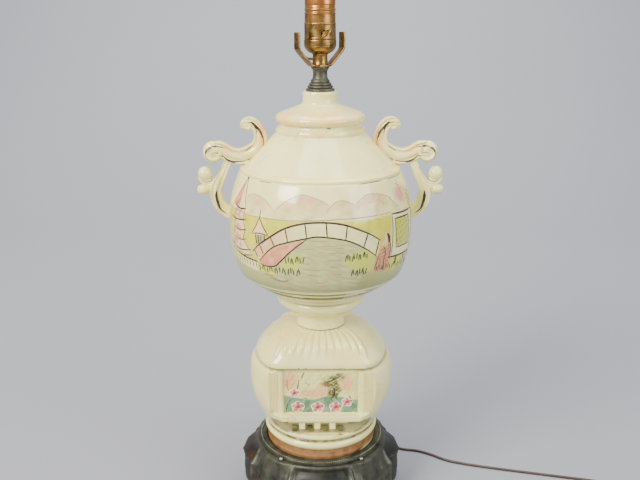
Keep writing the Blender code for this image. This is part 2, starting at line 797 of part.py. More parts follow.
def make_switch(brass, steel):
    """The stem and its flat thumb key, which turn together on the stem's axis."""
    out = switch_direction()
    pivot = bpy.data.objects.new("switch_pivot", None)
    pivot.location = Vector((out.x, out.y, 0.0)) * (SHELL_R + 6.1) * MM + Vector((0.0, 0.0, SWITCH_Z * MM))
    pivot.rotation_euler = out.to_track_quat("Z", "Y").to_euler()
    bpy.context.scene.collection.objects.link(pivot)
    stem = turned("switch_stem", [(2.4, -16.0), (2.4, -2.3), (1.5, -2.3), (1.5, 3.0)], steel, 20, hollow=False)
    stem.parent = pivot
    loops = []
    for z, half_width in ((-2.0, 4.0), (0.0, 4.4), (3.0, 7.4), (8.0, 7.6), (10.5, 6.0), (11.5, 3.4)):
        half_thick = 2.4 if z < 1.0 else 1.5
        loops.append(
            [
                (half_width * math.cos(a), half_thick * math.sin(a), z)
                for a in (math.radians(22.5 + 45.0 * k) for k in range(8))
            ]
        )
    bm = bmesh.new()
    loft(bm, loops)
    key = add_object("switch_key", bm, brass)
    bore = bmesh.new()
    loft(bore, [circle_points(1.7, -3.0, 16), circle_points(1.7, 3.3, 16)])
    bore_tool = add_object("key_bore", bore)
    for piece in (key, bore_tool):
        piece.rotation_euler = (0.0, 0.0, KEY_SLANT)
        piece.parent = pivot
    boolean(key, "DIFFERENCE", bore_tool)


# ---------------------------------------------------------------- cord


def make_cord(flex, rubber, brass):
    inside = [
        (0.0, 105.6, 36.0),
        (0.0, 92.0, 36.0),
        (0.0, 60.0, 36.5),
        (0.0, 25.0, 37.5),
        (0.0, 6.0, 42.0),
        (0.0, 0.0, 49.0),
        (0.0, 0.0, 60.0),
        (0.0, 0.0, 552.5),
    ]
    cord_tube("cord_inside", inside, CORD_R, flex, 40.0)
    cord_tube("cord_free", CORD_ROUTE, CORD_R, flex, 9.0)
    cord_tube("cord_tail", TAIL_ROUTE, CORD_R, flex, 6.0)
    wall = BASE_BULGE_R
    bushing = [
        (CORD_R + GAP, wall - 11.0),
        (BUSHING_R + 1.6, wall - 11.0),
        (BUSHING_R + 1.6, wall - 9.4),
        (BUSHING_R, wall - 9.0),
        (BUSHING_R, wall + 0.6),
        (BUSHING_R + 2.5, wall + 0.8),
        (BUSHING_R + 2.5, wall + 3.0),
        (CORD_R + GAP, wall + 3.0),
    ]
    made = turned("cord_bushing", bushing, rubber, 20, location=(0.0, 0.0, BUSHING_Z))
    turn_to(made, (0.0, 1.0, 0.0))
    x, y = COIL_CENTRE
    coil = [
        (COIL_INNER_R + 2.0, COIL_LOW_Z),
        (COIL_OUTER_R - 2.0, COIL_LOW_Z),
        (COIL_OUTER_R, COIL_LOW_Z + 2.5),
        (COIL_OUTER_R, COIL_HIGH_Z - 2.5),
        (COIL_OUTER_R - 2.0, COIL_HIGH_Z),
        (COIL_INNER_R + 2.0, COIL_HIGH_Z),
        (COIL_INNER_R, COIL_HIGH_Z - 2.5),
        (COIL_INNER_R, COIL_LOW_Z + 2.5),
    ]
    turned("cord_coil", coil, flex, 32, location=(x, y, 0.0))
    bm = bmesh.new()
    low, high = COIL_LOW_Z - GAP, COIL_HIGH_Z + GAP
    near, far = COIL_INNER_R - 3 * GAP, COIL_OUTER_R + GAP
    loops = []
    for side, wall in ((-4.0, 0.9), (4.0, 0.9), (4.0, 0.0), (-4.0, 0.0)):
        left, right = x + near - wall, x + far + wall
        bottom, top = low - wall, high + wall
        across = y + side
        loops.append([(left, across, bottom), (right, across, bottom), (right, across, top), (left, across, top)])
    loft(bm, loops, ring=True)
    add_object("cord_tie", bm, rubber)
    make_plug(rubber, brass)


def make_plug(rubber, brass):
    """A two-blade plug lying on the table at the tail's end."""
    direction = Vector((-0.8, -0.6, 0.0))
    pivot = bpy.data.objects.new("plug_pivot", None)
    pivot.location = Vector((TAIL_ROUTE[-1][0], TAIL_ROUTE[-1][1], TAIL_ROUTE[-1][2])) * MM
    pivot.rotation_euler = direction.to_track_quat("Z", "Y").to_euler()
    bpy.context.scene.collection.objects.link(pivot)
    start = 2 * GAP
    loops = []
    for z, half_x, half_y in (
        (start, 3.4, 3.4),
        (start + 8.0, 5.0, 4.6),
        (start + 16.0, 11.5, 6.2),
        (start + 26.0, 12.5, 6.4),
        (start + 30.0, 12.0, 6.0),
    ):
        loops.append(
            [
                (half_x * math.cos(a), half_y * math.sin(a), z)
                for a in (math.tau * k / 20 for k in range(20))
            ]
        )
    bm = bmesh.new()
    loft(bm, loops)
    body = add_object("plug_body", bm, rubber)
    body.parent = pivot
    for side, name in ((-1, "plug_blade_left"), (1, "plug_blade_right")):
        blade = bmesh.new()
        centre = side * 6.35
        box(blade, (centre - 0.75, -3.2, start + 30.3), (centre + 0.75, 3.2, start + 47.0))
        made = add_object(name, blade, brass)
        made.parent = pivot


def main():
    clear_scene()
    glaze = material("cream_glaze", (0.87, 0.84, 0.62), 0.16, 0.0)
    bronze = material("dark_bronze", (0.10, 0.095, 0.065), 0.5, 0.7)
    brass = material("antique_brass", (0.45, 0.28, 0.09), 0.34, 1.0)
    steel = material("zinc_steel", (0.5, 0.5, 0.48), 0.4, 1.0)
    aluminium = material("aluminium", (0.8, 0.8, 0.8), 0.3, 1.0)
    felt = material("green_felt", (0.05, 0.12, 0.06), 0.95, 0.0)
    card = material("card_sleeve", (0.25, 0.19, 0.12), 0.9, 0.0)
    phenolic = material("phenolic", (0.02, 0.016, 0.014), 0.35, 0.0)
    flex = material("brown_flex", (0.035, 0.018, 0.013), 0.45, 0.0)
    rubber = material("brown_rubber", (0.03, 0.02, 0.016), 0.55, 0.0)
    make_base(bronze)
    make_ring(bronze, steel)
    make_pads(felt)
    make_pipe_hardware(steel, felt)
    make_lower_body(glaze)
    make_urn(glaze)
    make_handle("handle_left", -1, glaze)
    make_handle("handle_right", 1, glaze)
    make_neck_spindle(bronze)
    make_saddle(brass)
    make_socket_cap(brass, steel)
    make_socket_shell(brass, card)
    make_insulator(phenolic, steel)
    make_screw_shell(aluminium, brass)
    make_switch(brass, steel)
    make_cord(flex, rubber, brass)


main()
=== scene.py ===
"""The finished look of a glazed ceramic urn lamp, built over its CAD frame.

Sizes in the functions are in millimetres: z is the height above the table, -Y is the front,
and the lamp's axis is Z.
"""

import math

import bmesh
import bpy
import numpy as np
from mathutils import Matrix, Vector
from mathutils.bvhtree import BVHTree


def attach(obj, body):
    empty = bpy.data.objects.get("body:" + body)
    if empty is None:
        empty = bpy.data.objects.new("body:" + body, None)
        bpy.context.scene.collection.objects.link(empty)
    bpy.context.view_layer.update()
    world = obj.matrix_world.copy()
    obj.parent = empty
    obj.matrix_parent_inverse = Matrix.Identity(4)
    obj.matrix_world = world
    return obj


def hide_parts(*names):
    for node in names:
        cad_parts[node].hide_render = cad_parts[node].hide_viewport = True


bl_info = {
    "name": "Ceramic urn lamp",
    "version": (1, 0, 0),
    "blender": (4, 5, 0),
    "location": "3D View > Sidebar > Urn Lamp",
    "description": "Builds the finished pieces of a glazed ceramic urn lamp over its CAD frame",
    "category": "Object",
}

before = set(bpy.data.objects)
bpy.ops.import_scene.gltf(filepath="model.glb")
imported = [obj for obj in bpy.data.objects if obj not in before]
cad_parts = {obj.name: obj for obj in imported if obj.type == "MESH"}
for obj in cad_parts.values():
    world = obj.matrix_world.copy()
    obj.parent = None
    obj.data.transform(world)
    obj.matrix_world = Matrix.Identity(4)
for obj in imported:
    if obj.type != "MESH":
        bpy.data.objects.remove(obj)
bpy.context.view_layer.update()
MM = 0.001

# Levels that the pieces share, as in the CAD part.
DECK_Z = 72.0
RING_TOP_Z = 76.4
EAVE_Z = 193.0
ROOF_TOP_Z = 228.0
NECK_TOP_Z = 513.3
SPINDLE_TOP_Z = 539.6
CAP_FOOT_Z = 542.2
SWITCH_Z = 577.0
INSULATOR_TOP_Z = 583.5
WINDOW_Y = 57.0
PILASTER_Y = 61.0
LEDGE_Y = 66.0
DRUM_R = 109.0
PIPE_HOLE_R = 5.4


# ---------------------------------------------------------------- small tools


def srgb(code):
    """A colour written as sRGB hex, as linear red, green and blue."""
    parts = [int(code[i : i + 2], 16) / 255.0 for i in (1, 3, 5)]
    return tuple(c / 12.92 if c <= 0.04045 else ((c + 0.055) / 1.055) ** 2.4 for c in parts)


def add_node(tree, kind, settings=None, links=None):
    """Adds a node with its own settings, its input values and the sockets that feed it."""
    made = tree.nodes.new(kind)
    for name, value in (settings or {}).items():
        if isinstance(name, str) and hasattr(made, name):
            setattr(made, name, value)
        else:
            made.inputs[name].default_value = value
    for name, source in (links or {}).items():
        tree.links.new(source, made.inputs[name])
    return made


def mesh_object(name, points, faces, finish, crease=40.0):
    """A mesh object at the origin from points in millimetres. Edges bent past the crease angle stay sharp."""
    mesh = bpy.data.meshes.new(name)
    mesh.from_pydata((np.asarray(points, float) * MM).tolist(), [], [tuple(f) for f in faces])
    if finish is not None:
        mesh.materials.append(finish)
    mesh.shade_smooth()
    mesh.set_sharp_from_angle(angle=math.radians(crease))
    obj = bpy.data.objects.new(name, mesh)
    bpy.context.scene.collection.objects.link(obj)
    return obj


def outward(obj):
    """Points a closed mesh's faces outwards."""
    bm = bmesh.new()
    bm.from_mesh(obj.data)
    bmesh.ops.recalc_face_normals(bm, faces=bm.faces)
    bm.to_mesh(obj.data)
    bm.free()
    return obj


def baked(obj):
    """Turns what the modifiers give into the object's own plain mesh."""
    graph = bpy.context.evaluated_depsgraph_get()
    plain = bpy.data.meshes.new_from_object(obj.evaluated_get(graph))
    obj.modifiers.clear()
    obj.data = plain
    return obj


def grid_faces(rows, columns, around=True, ring=False, start=0):
    """Quads between rows of points. around closes each row, and ring joins the last row to the first."""
    faces = []
    for r in range(rows if ring else rows - 1):
        low, high = start + r * columns, start + ((r + 1) % rows) * columns
        for c in range(columns if around else columns - 1):
            d = (c + 1) % columns
            faces.append((low + c, low + d, high + d, high + c))
    return faces


def spline(points, step):
    """Points about a step apart on a smooth curve. A point given twice is a corner."""
    runs, run = [], [points[0]]
    for before, after in zip(points, points[1:]):
        if tuple(before) == tuple(after):
            runs.append(run)
            run = []
        run.append(after)
    runs.append(run)
    out = []
    for run in runs:
        line = [np.array(p, float) for p in run]
        ends = [2 * line[0] - line[1], *line, 2 * line[-1] - line[-2]]
        for a, b, c, d in zip(ends, ends[1:], ends[2:], ends[3:]):
            count = max(1, round(float(np.linalg.norm(c - b)) / step))
            for i in range(count):
                t = i / count
                bend, twist = 2 * a - 5 * b + 4 * c - d, 3 * b - a - 3 * c + d
                out.append(0.5 * (2 * b + (c - a) * t + bend * t**2 + twist * t**3))
    out.append(np.array(points[-1], float))
    return np.array(out)


def turned_points(profile, segments):
    """Rows of points round the axis from (radius, height) pairs."""
    turn = np.linspace(0.0, math.tau, segments, endpoint=False)
    rows = [np.stack([r * np.cos(turn), r * np.sin(turn), np.full(segments, z)], axis=1) for r, z in profile]
    return np.concatenate(rows)


def turned(name, profile, finish, segments=96, crease=40.0):
    """A turned piece whose profile goes all the way round its wall."""
    made = mesh_object(
        name, turned_points(profile, segments), grid_faces(len(profile), segments, ring=True), finish, crease
    )
    return outward(made)


def walled(outer, wall, coarse=5):
    """A closed profile: the outer line, then every few points of a line a wall's thickness inside it."""
    keep = list(range(0, len(outer), coarse))
    if keep[-1] != len(outer) - 1:
        keep.append(len(outer) - 1)
    inner = [(max(outer[i][0] - wall, 1.0), outer[i][1]) for i in reversed(keep)]
    return [tuple(p) for p in outer] + inner


def tube_parts(path, radii, sides, start=0):
    """Points and faces of a closed round tube along a path, with a radius for each of its points."""
    path = [Vector(p) for p in path]
    points, across = [], None
    for i, here in enumerate(path):
        along = (path[min(i + 1, len(path) - 1)] - path[max(i - 1, 0)]).normalized()
        if across is None:
            across = along.orthogonal().normalized()
        across = (across - along * across.dot(along)).normalized()
        other = along.cross(across)
        for k in range(sides):
            a = math.tau * k / sides
            points.append(tuple(here + (across * math.cos(a) + other * math.sin(a)) * radii[i]))
    faces = grid_faces(len(path), sides, start=start)
    last = start + (len(path) - 1) * sides
    faces.append(tuple(reversed(range(start, start + sides))))
    faces.append(tuple(range(last, last + sides)))
    return points, faces


def tube(name, path, radii, finish, sides=10):
    return outward(mesh_object(name, *tube_parts(path, radii, sides), finish))


def fused(name, parts, voxel, rounds, finish):
    """Melts overlapping closed parts into one body with the soft edges that slip casting and glaze give."""
    bm = bmesh.new()
    for part in parts:
        bm.from_mesh(part.data)
        bpy.data.objects.remove(part)
    mesh = bpy.data.meshes.new(name)
    bm.to_mesh(mesh)
    bm.free()
    obj = bpy.data.objects.new(name, mesh)
    bpy.context.scene.collection.objects.link(obj)
    remesh = obj.modifiers.new("Cast", "REMESH")
    remesh.mode = "VOXEL"
    remesh.voxel_size = voxel * MM
    soften = obj.modifiers.new("Soften", "SMOOTH")
    soften.iterations = rounds
    soften.factor = 0.5
    baked(obj)
    obj.data.materials.clear()
    obj.data.materials.append(finish)
    obj.data.shade_smooth()
    return obj


def cut(obj, tool):
    modifier = obj.modifiers.new("Cut", "BOOLEAN")
    modifier.operation = "DIFFERENCE"
    modifier.solver = "EXACT"
    modifier.object = tool
    baked(obj)
    bpy.data.objects.remove(tool)
    return obj


def block(name, low, high, finish=None):
    points = [(x, y, z) for z in (low[2], high[2]) for x, y in (
        (low[0], low[1]), (high[0], low[1]), (high[0], high[1]), (low[0], high[1]))]
    faces = [(3, 2, 1, 0), (4, 5, 6, 7), (0, 1, 5, 4), (1, 2, 6, 5), (2, 3, 7, 6), (3, 0, 4, 7)]
    return mesh_object(name, points, faces, finish)


def points_of(obj):
    """The mesh's points in millimetres."""
    co = np.empty(len(obj.data.vertices) * 3, np.float32)
    obj.data.vertices.foreach_get("co", co)
    return co.reshape(-1, 3).astype(float) / MM


def set_paint(obj, colours, name="paint", depth=1.35):
    """Stores a painted colour for each point of the mesh.

    Firing deepens what the brush laid down, and the lead glaze lies over it with its own yellow cast.
    """
    grey = colours.mean(axis=1, keepdims=True)
    colours = np.clip(grey + (colours - grey) * depth, 0.0, None)
    if obj.data.materials[0] == FINISHES["lead_glaze"]:
        colours = colours * (1.0, 0.97, 0.6)
    made = obj.data.color_attributes.new(name, "FLOAT_COLOR", "POINT")
    rgba = np.ones((len(colours), 4), np.float32)
    rgba[:, :3] = colours
    made.data.foreach_set("color", rgba.ravel())


def finish_piece(obj, body, slot, *nodes):
    """Ties a finished piece to its CAD body and hides the CAD nodes it stands for. Its slot argument is not used.
    """
    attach(obj, body)
    if nodes:
        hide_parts(*nodes)
    return obj


# ---------------------------------------------------------------- brush work


def drift(points, size, seed):
    """Soft noise from 0 to 1 made of crossing waves, about size millimetres across."""
    rng = np.random.default_rng(seed)
    total = np.zeros(len(points))
    for _ in range(8):
        way = rng.normal(size=points.shape[1])
        way *= math.tau / size / np.linalg.norm(way) * rng.uniform(0.55, 1.7)
        total += np.sin(points @ way + rng.uniform(0.0, math.tau))
    return 0.5 + 0.5 * np.clip(total / 3.4, -1.0, 1.0)


def wash(colours, mask, code, strength=1.0):
    """Lays a colour over what is there, as far as the mask says."""
    amount = np.clip(mask, 0.0, 1.0)[:, None] * strength
    return colours * (1.0 - amount) + np.array(srgb(code)) * amount


def line_distance(u, z, line):
    nearest = np.full(len(u), 1e9)
    for (u0, z0), (u1, z1) in zip(line, line[1:]):
        du, dz = u1 - u0, z1 - z0
        t = np.clip(((u - u0) * du + (z - z0) * dz) / (du * du + dz * dz + 1e-9), 0.0, 1.0)
        nearest = np.minimum(nearest, np.hypot(u - u0 - t * du, z - z0 - t * dz))
    return nearest


def stroke(u, z, line, width, soft=1.2):
    """1 on a brush stroke of that width, fading at its edge."""
    return np.clip((width / 2 - line_distance(u, z, line)) / soft + 0.5, 0.0, 1.0)


def area(u, z, outline, soft=1.4):
    """1 inside an outline, fading at its edge."""
    closed = list(outline) + [outline[0]]
    crossed = np.zeros(len(u), bool)
    for (u0, z0), (u1, z1) in zip(closed, closed[1:]):
        if z0 != z1:
            crossed ^= ((z0 > z) != (z1 > z)) & (u < (u1 - u0) * (z - z0) / (z1 - z0) + u0)
    away = line_distance(u, z, closed)
    return np.clip(np.where(crossed, away, -away) / soft + 0.5, 0.0, 1.0)


def spot(u, z, centre, half_u, half_z, soft=0.35):
    far = np.hypot((u - centre[0]) / half_u, (z - centre[1]) / half_z)
    return np.clip((1.0 - far) / soft + 0.5, 0.0, 1.0)


def ink_piece(name, strips, finish):
    """Brush lines that stand a little above the glaze. A strip is (points, normals, widths)."""
    points, faces = [], []
    for line, normals, widths in strips:
        start = len(points)
        for i, here in enumerate(line):
            along = Vector(line[min(i + 1, len(line) - 1)]) - Vector(line[max(i - 1, 0)])
            up = Vector(normals[i])
            side = along.cross(up)
            side = side.normalized() * (widths[i] / 2) if side.length > 1e-9 else Vector((0, 0, 0))
            here = Vector(here)
            points += [tuple(here - side - up * 0.1), tuple(here + side - up * 0.1), tuple(here + up * 0.2)]
        faces += grid_faces(len(line), 3, start=start)
        last = start + 3 * (len(line) - 1)
        faces += [(start + 2, start + 1, start), (last, last + 1, last + 2)]
    return outward(mesh_object(name, points, faces, finish, crease=80.0))


def tapered(count, width, ends=0.35):
    """Widths along a brush line, thinner at both ends."""
    t = np.linspace(0.0, 1.0, count)
    return width * (ends + (1.0 - ends) * np.clip(np.sin(math.pi * t) * 1.8, 0.0, 1.0))


# ---------------------------------------------------------------- what a user may change


class UrnLampSizes(bpy.types.PropertyGroup):
    """Sizes and counts of the lamp's detail."""

    bead_count: bpy.props.IntProperty(
        name="Beads", description="Beads round the gallery ring", default=196, min=24, max=400
    )
    bead_radius: bpy.props.FloatProperty(
        name="Bead radius", description="Radius of one bead", default=0.00095, unit="LENGTH",
        subtype="DISTANCE"
    )
    rib_count: bpy.props.IntProperty(
        name="Roof ribs", description="Ribs on each face of the roof", default=12, min=3, max=24
    )
    flute_pitch: bpy.props.FloatProperty(
        name="Flute pitch", description="Distance between pilaster flutes", default=0.0019, unit="LENGTH"
    )
    crackle_size: bpy.props.FloatProperty(
        name="Crackle", description="Width of one plate of crackled glaze", default=0.021, unit="LENGTH"
    )
    cord_radius: bpy.props.FloatProperty(
        name="Cord radius", description="Radius of the mains cord", default=0.0017, unit="LENGTH"
    )


class UrnLampColours(bpy.types.PropertyGroup):
    """Colours of the lamp's finishes."""

    glaze: bpy.props.FloatVectorProperty(
        name="Glaze", description="Cream body glaze", subtype="COLOR", size=3, default=srgb("#ECE7C9")
    )
    crackle: bpy.props.FloatVectorProperty(
        name="Crackle stain", description="Brown in the crackle lines", subtype="COLOR", size=3,
        default=srgb("#7A5A36"),
    )
    bronze: bpy.props.FloatVectorProperty(
        name="Patina", description="Dark olive patina of the base", subtype="COLOR", size=3,
        default=srgb("#525242"),
    )
    brass: bpy.props.FloatVectorProperty(
        name="Brass", description="Aged brass of the socket", subtype="COLOR", size=3, default=srgb("#A98448")
    )
    cord: bpy.props.FloatVectorProperty(
        name="Cord", description="Dark brown flex", subtype="COLOR", size=3, default=srgb("#2E1F1A")
    )


# ---------------------------------------------------------------- finishes

FINISHES = {}


def new_finish(name):
    """A material with an empty Principled shader, and its Object coordinates."""
    made = bpy.data.materials.new(name)
    made.use_nodes = True
    tree = made.node_tree
    shader = tree.nodes["Principled BSDF"]
    place = add_node(tree, "ShaderNodeTexCoord").outputs["Object"]
    FINISHES[name] = made
    return made, tree, shader, place


def lead_glaze(name, roughness):
    """Slip-cast earthenware under a lead glaze: wet gloss, dirt in the crackle, and a slightly wavy skin.

    The painted colours come from the piece's own attribute. The crackle's plates are about 20 mm across.
    """
    colours, sizes = bpy.context.scene.urn_lamp_colours, bpy.context.scene.urn_lamp_sizes
    made, tree, shader, place = new_finish(name)
    painted = add_node(tree, "ShaderNodeAttribute", {"attribute_name": "paint"})
    wobble = add_node(tree, "ShaderNodeTexNoise", {"Scale": 55.0, "Detail": 3.0}, {"Vector": place})
    bent = add_node(tree, "ShaderNodeMix", {"data_type": "RGBA", "blend_type": "LINEAR_LIGHT", 0: 0.012},
                    {6: place, 7: wobble.outputs["Color"]})
    plates = add_node(tree, "ShaderNodeTexVoronoi", {"feature": "DISTANCE_TO_EDGE",
                                                     "Scale": 1.0 / sizes.crackle_size},
                      {"Vector": bent.outputs[2]})
    crack = add_node(tree, "ShaderNodeMapRange", {"From Min": 0.004, "From Max": 0.016, "To Min": 1.0,
                                                  "To Max": 0.0},
                     {"Value": plates.outputs["Distance"]})
    patch = add_node(tree, "ShaderNodeTexNoise", {"Scale": 14.0, "Detail": 2.0}, {"Vector": place})
    where = add_node(tree, "ShaderNodeMapRange", {"From Min": 0.50, "From Max": 0.66, "To Min": 0.0,
                                                  "To Max": 0.5},
                     {"Value": patch.outputs["Fac"]})
    amount = add_node(tree, "ShaderNodeMath", {"operation": "MULTIPLY"},
                      {0: crack.outputs["Result"], 1: where.outputs["Result"]})
    cracked = add_node(tree, "ShaderNodeMix", {"data_type": "RGBA", 7: (*colours.crackle, 1.0)},
                       {0: amount.outputs[0], 6: painted.outputs["Color"]})
    cloud = add_node(tree, "ShaderNodeTexNoise", {"Scale": 26.0, "Detail": 4.0}, {"Vector": place})
    shade = add_node(tree, "ShaderNodeMapRange", {"From Min": 0.3, "From Max": 0.7, "To Min": 0.93,
                                                  "To Max": 1.03},
                     {"Value": cloud.outputs["Fac"]})
    toned = add_node(tree, "ShaderNodeMix", {"data_type": "RGBA", "blend_type": "MULTIPLY", 0: 1.0},
                     {6: cracked.outputs[2], 7: shade.outputs["Result"]})
    pits = add_node(tree, "ShaderNodeTexNoise", {"Scale": 900.0, "Detail": 2.0}, {"Vector": place})
    speck = add_node(tree, "ShaderNodeMapRange", {"From Min": 0.70, "From Max": 0.76, "To Min": 0.0,
                                                  "To Max": 0.4},
                     {"Value": pits.outputs["Fac"]})
    flecked = add_node(tree, "ShaderNodeMix", {"data_type": "RGBA", 7: (*colours.crackle, 1.0)},
                       {0: speck.outputs["Result"], 6: toned.outputs[2]})
    skin = add_node(tree, "ShaderNodeTexNoise", {"Scale": 38.0, "Detail": 2.0}, {"Vector": place})
    wave = add_node(tree, "ShaderNodeBump", {"Strength": 0.25, "Distance": 0.0016},
                    {"Height": skin.outputs["Fac"]})
    gloss = add_node(tree, "ShaderNodeMapRange",
                     {"From Min": 0.3, "From Max": 0.7, "To Min": roughness - 0.04,
                      "To Max": roughness + 0.08},
                     {"Value": cloud.outputs["Fac"]})
    tree.links.new(flecked.outputs[2], shader.inputs["Base Color"])
    tree.links.new(wave.outputs["Normal"], shader.inputs["Normal"])
    tree.links.new(gloss.outputs["Result"], shader.inputs["Roughness"])
    shader.inputs["IOR"].default_value = 1.5
    shader.inputs["Coat Weight"].default_value = 0.35
    shader.inputs["Coat Roughness"].default_value = 0.06
    return made


def two_tone(name, low, high, grain, roughness, metallic, bump, painted=False):
    """A finish that drifts between two tones, with a grain in millimetres, and a fine bump."""
    made, tree, shader, place = new_finish(name)
    noise = add_node(tree, "ShaderNodeTexNoise", {"Scale": 1000.0 / grain, "Detail": 5.0, "Roughness": 0.6},
                     {"Vector": place})
    spread = add_node(tree, "ShaderNodeMapRange", {"From Min": 0.32, "From Max": 0.68},
                      {"Value": noise.outputs["Fac"]})
    tone = add_node(tree, "ShaderNodeMix", {"data_type": "RGBA", 6: (*low, 1.0), 7: (*high, 1.0)},
                    {0: spread.outputs["Result"]})
    colour = tone.outputs[2]
    if painted:
        given = add_node(tree, "ShaderNodeAttribute", {"attribute_name": "paint"})
        mixed = add_node(tree, "ShaderNodeMix", {"data_type": "RGBA", "blend_type": "MULTIPLY", 0: 1.0},
                         {6: colour, 7: given.outputs["Color"]})
        colour = mixed.outputs[2]
    gloss = add_node(tree, "ShaderNodeMapRange", {"To Min": roughness[0], "To Max": roughness[1]},
                     {"Value": spread.outputs["Result"]})
    fine = add_node(tree, "ShaderNodeTexNoise", {"Scale": 4000.0 / grain, "Detail": 3.0}, {"Vector": place})
    rough = add_node(tree, "ShaderNodeBump", {"Strength": bump, "Distance": 0.0005},
                     {"Height": fine.outputs["Fac"]})
    tree.links.new(colour, shader.inputs["Base Color"])
    tree.links.new(gloss.outputs["Result"], shader.inputs["Roughness"])
    tree.links.new(rough.outputs["Normal"], shader.inputs["Normal"])
    shader.inputs["Metallic"].default_value = metallic
    return made, tree, shader, place


def aged_brass():
    """Spun brass that has tarnished: brown in the low tones, and coppery where the bulb has heated it."""
    brass = bpy.context.scene.urn_lamp_colours.brass
    made, tree, shader, place = two_tone(
        "aged_brass", srgb("#6A5230"), tuple(brass), 9.0, (0.22, 0.4), 1.0, 0.12
    )
    tone = shader.inputs["Base Color"].links[0].from_socket
    height = add_node(tree, "ShaderNodeSeparateXYZ", links={"Vector": place})
    heat = add_node(tree, "ShaderNodeMapRange", {"From Min": 0.585, "From Max": 0.612},
                    {"Value": height.outputs["Z"]})
    warm = add_node(tree, "ShaderNodeMix", {"data_type": "RGBA", 7: (*srgb("#C07F44"), 1.0)},
                    {0: heat.outputs["Result"], 6: tone})
    tree.links.new(warm.outputs[2], shader.inputs["Base Color"])
    return made


def make_finishes():
    colours = bpy.context.scene.urn_lamp_colours
    lead_glaze("lead_glaze", 0.13)
    # Overglaze enamel brushed on in dark brown: thin, a little glossy, and broken where it ran dry.
    two_tone("brush_enamel", srgb("#1F1A15"), srgb("#453729"), 6.0, (0.2, 0.4), 0.0, 0.2)
    two_tone("white_slip", srgb("#E6E1C8"), srgb("#F4F0DE"), 6.0, (0.15, 0.3), 0.0, 0.2)
    # Cast spelter with a dark bronze patina, rubbed on its ridges and dull in its hollows. Its painted colour
    # also carries painted shade in the base's hollows and painted highlights on its ridges and on the gallery
    # beads.
    made = two_tone("bronze_patina", srgb("#272822"), tuple(colours.bronze), 14.0, (0.34, 0.58), 0.55, 0.35,
                    True)
    made[2].inputs["Specular IOR Level"].default_value = 0.6
    aged_brass()
    two_tone("zinc_plate", srgb("#8C8C86"), srgb("#B4B4AC"), 4.0, (0.3, 0.5), 1.0, 0.15)
    two_tone("rolled_aluminium", srgb("#BDBDBA"), srgb("#DDDDDA"), 5.0, (0.25, 0.4), 1.0, 0.1)
    two_tone("phenolic_moulding", srgb("#231D19"), srgb("#342A22"), 5.0, (0.3, 0.45), 0.0, 0.1)
    # PVC flex, dark brown and slightly dusty.
    two_tone("brown_flex", tuple(colours.cord), srgb("#46332B"), 16.0, (0.38, 0.55), 0.0, 0.1)
    two_tone("moulded_vinyl", srgb("#2A1D18"), srgb("#3A2A23"), 8.0, (0.35, 0.5), 0.0, 0.15)
    felt = two_tone("wool_felt", srgb("#1F3A28"), srgb("#2E5239"), 1.5, (0.9, 1.0), 0.0, 0.8)
    felt[2].inputs["Sheen Weight"].default_value = 0.5
    two_tone("fibre_card", srgb("#6B5539"), srgb("#8A7150"), 2.5, (0.8, 0.95), 0.0, 0.4)
    two_tone("studio_paper", srgb("#88898E"), srgb("#8A8B90"), 900.0, (0.75, 0.8), 0.0, 0.0)


# ---------------------------------------------------------------- rows of copies


def row_tree():
    """Copies of one shape, each a step further on and turned a little more about the lamp's axis."""
    tree = bpy.data.node_groups.new("Row of copies", "GeometryNodeTree")
    inputs = (
        ("Shape", "NodeSocketGeometry"),
        ("Count", "NodeSocketInt"),
        ("Start", "NodeSocketVector"),
        ("Step", "NodeSocketVector"),
        ("First Turn", "NodeSocketFloat"),
        ("Turn", "NodeSocketFloat"),
        ("Finish", "NodeSocketMaterial"),
    )
    for name, kind in inputs:
        tree.interface.new_socket(name=name, in_out="INPUT", socket_type=kind)
    tree.interface.new_socket(name="Copies", in_out="OUTPUT", socket_type="NodeSocketGeometry")
    given = add_node(tree, "NodeGroupInput").outputs
    line = add_node(tree, "GeometryNodeMeshLine", {"mode": "OFFSET"},
                    {"Count": given["Count"], "Start Location": given["Start"], "Offset": given["Step"]})
    index = add_node(tree, "GeometryNodeInputIndex")
    turn = add_node(tree, "ShaderNodeMath", {"operation": "MULTIPLY_ADD"},
                    {0: index.outputs[0], 1: given["Turn"], 2: given["First Turn"]})
    spin = add_node(tree, "ShaderNodeCombineXYZ", links={"Z": turn.outputs[0]})
    placed = add_node(tree, "GeometryNodeInstanceOnPoints",
                      links={"Points": line.outputs[0], "Instance": given["Shape"],
                             "Rotation": spin.outputs[0]})
    real = add_node(tree, "GeometryNodeRealizeInstances", links={0: placed.outputs[0]})
    dressed = add_node(tree, "GeometryNodeSetMaterial",
                       links={"Geometry": real.outputs[0], "Material": given["Finish"]})
    add_node(tree, "NodeGroupOutput", links={0: dressed.outputs[0]})
    return tree


def in_a_row(obj, count, finish, start=(0, 0, 0), step=(0, 0, 0), first=0.0, turn=0.0):
    """Replaces a shape by a row of copies of it, made by the Row of copies tree. Lengths are in millimetres."""
    tree = bpy.data.node_groups.get("Row of copies") or row_tree()
    modifier = obj.modifiers.new("Row", "NODES")
    modifier.node_group = tree
    values = {
        "Count": count,
        "Start": tuple(c * MM for c in start),
        "Step": tuple(c * MM for c in step),
        "First Turn": first,
        "Turn": turn,
        "Finish": finish,
    }
    for item in tree.interface.items_tree:
        if item.in_out == "INPUT" and item.name in values:
            modifier[item.identifier] = values[item.name]
    obj.update_tag()
    return baked(obj)


# ---------------------------------------------------------------- base

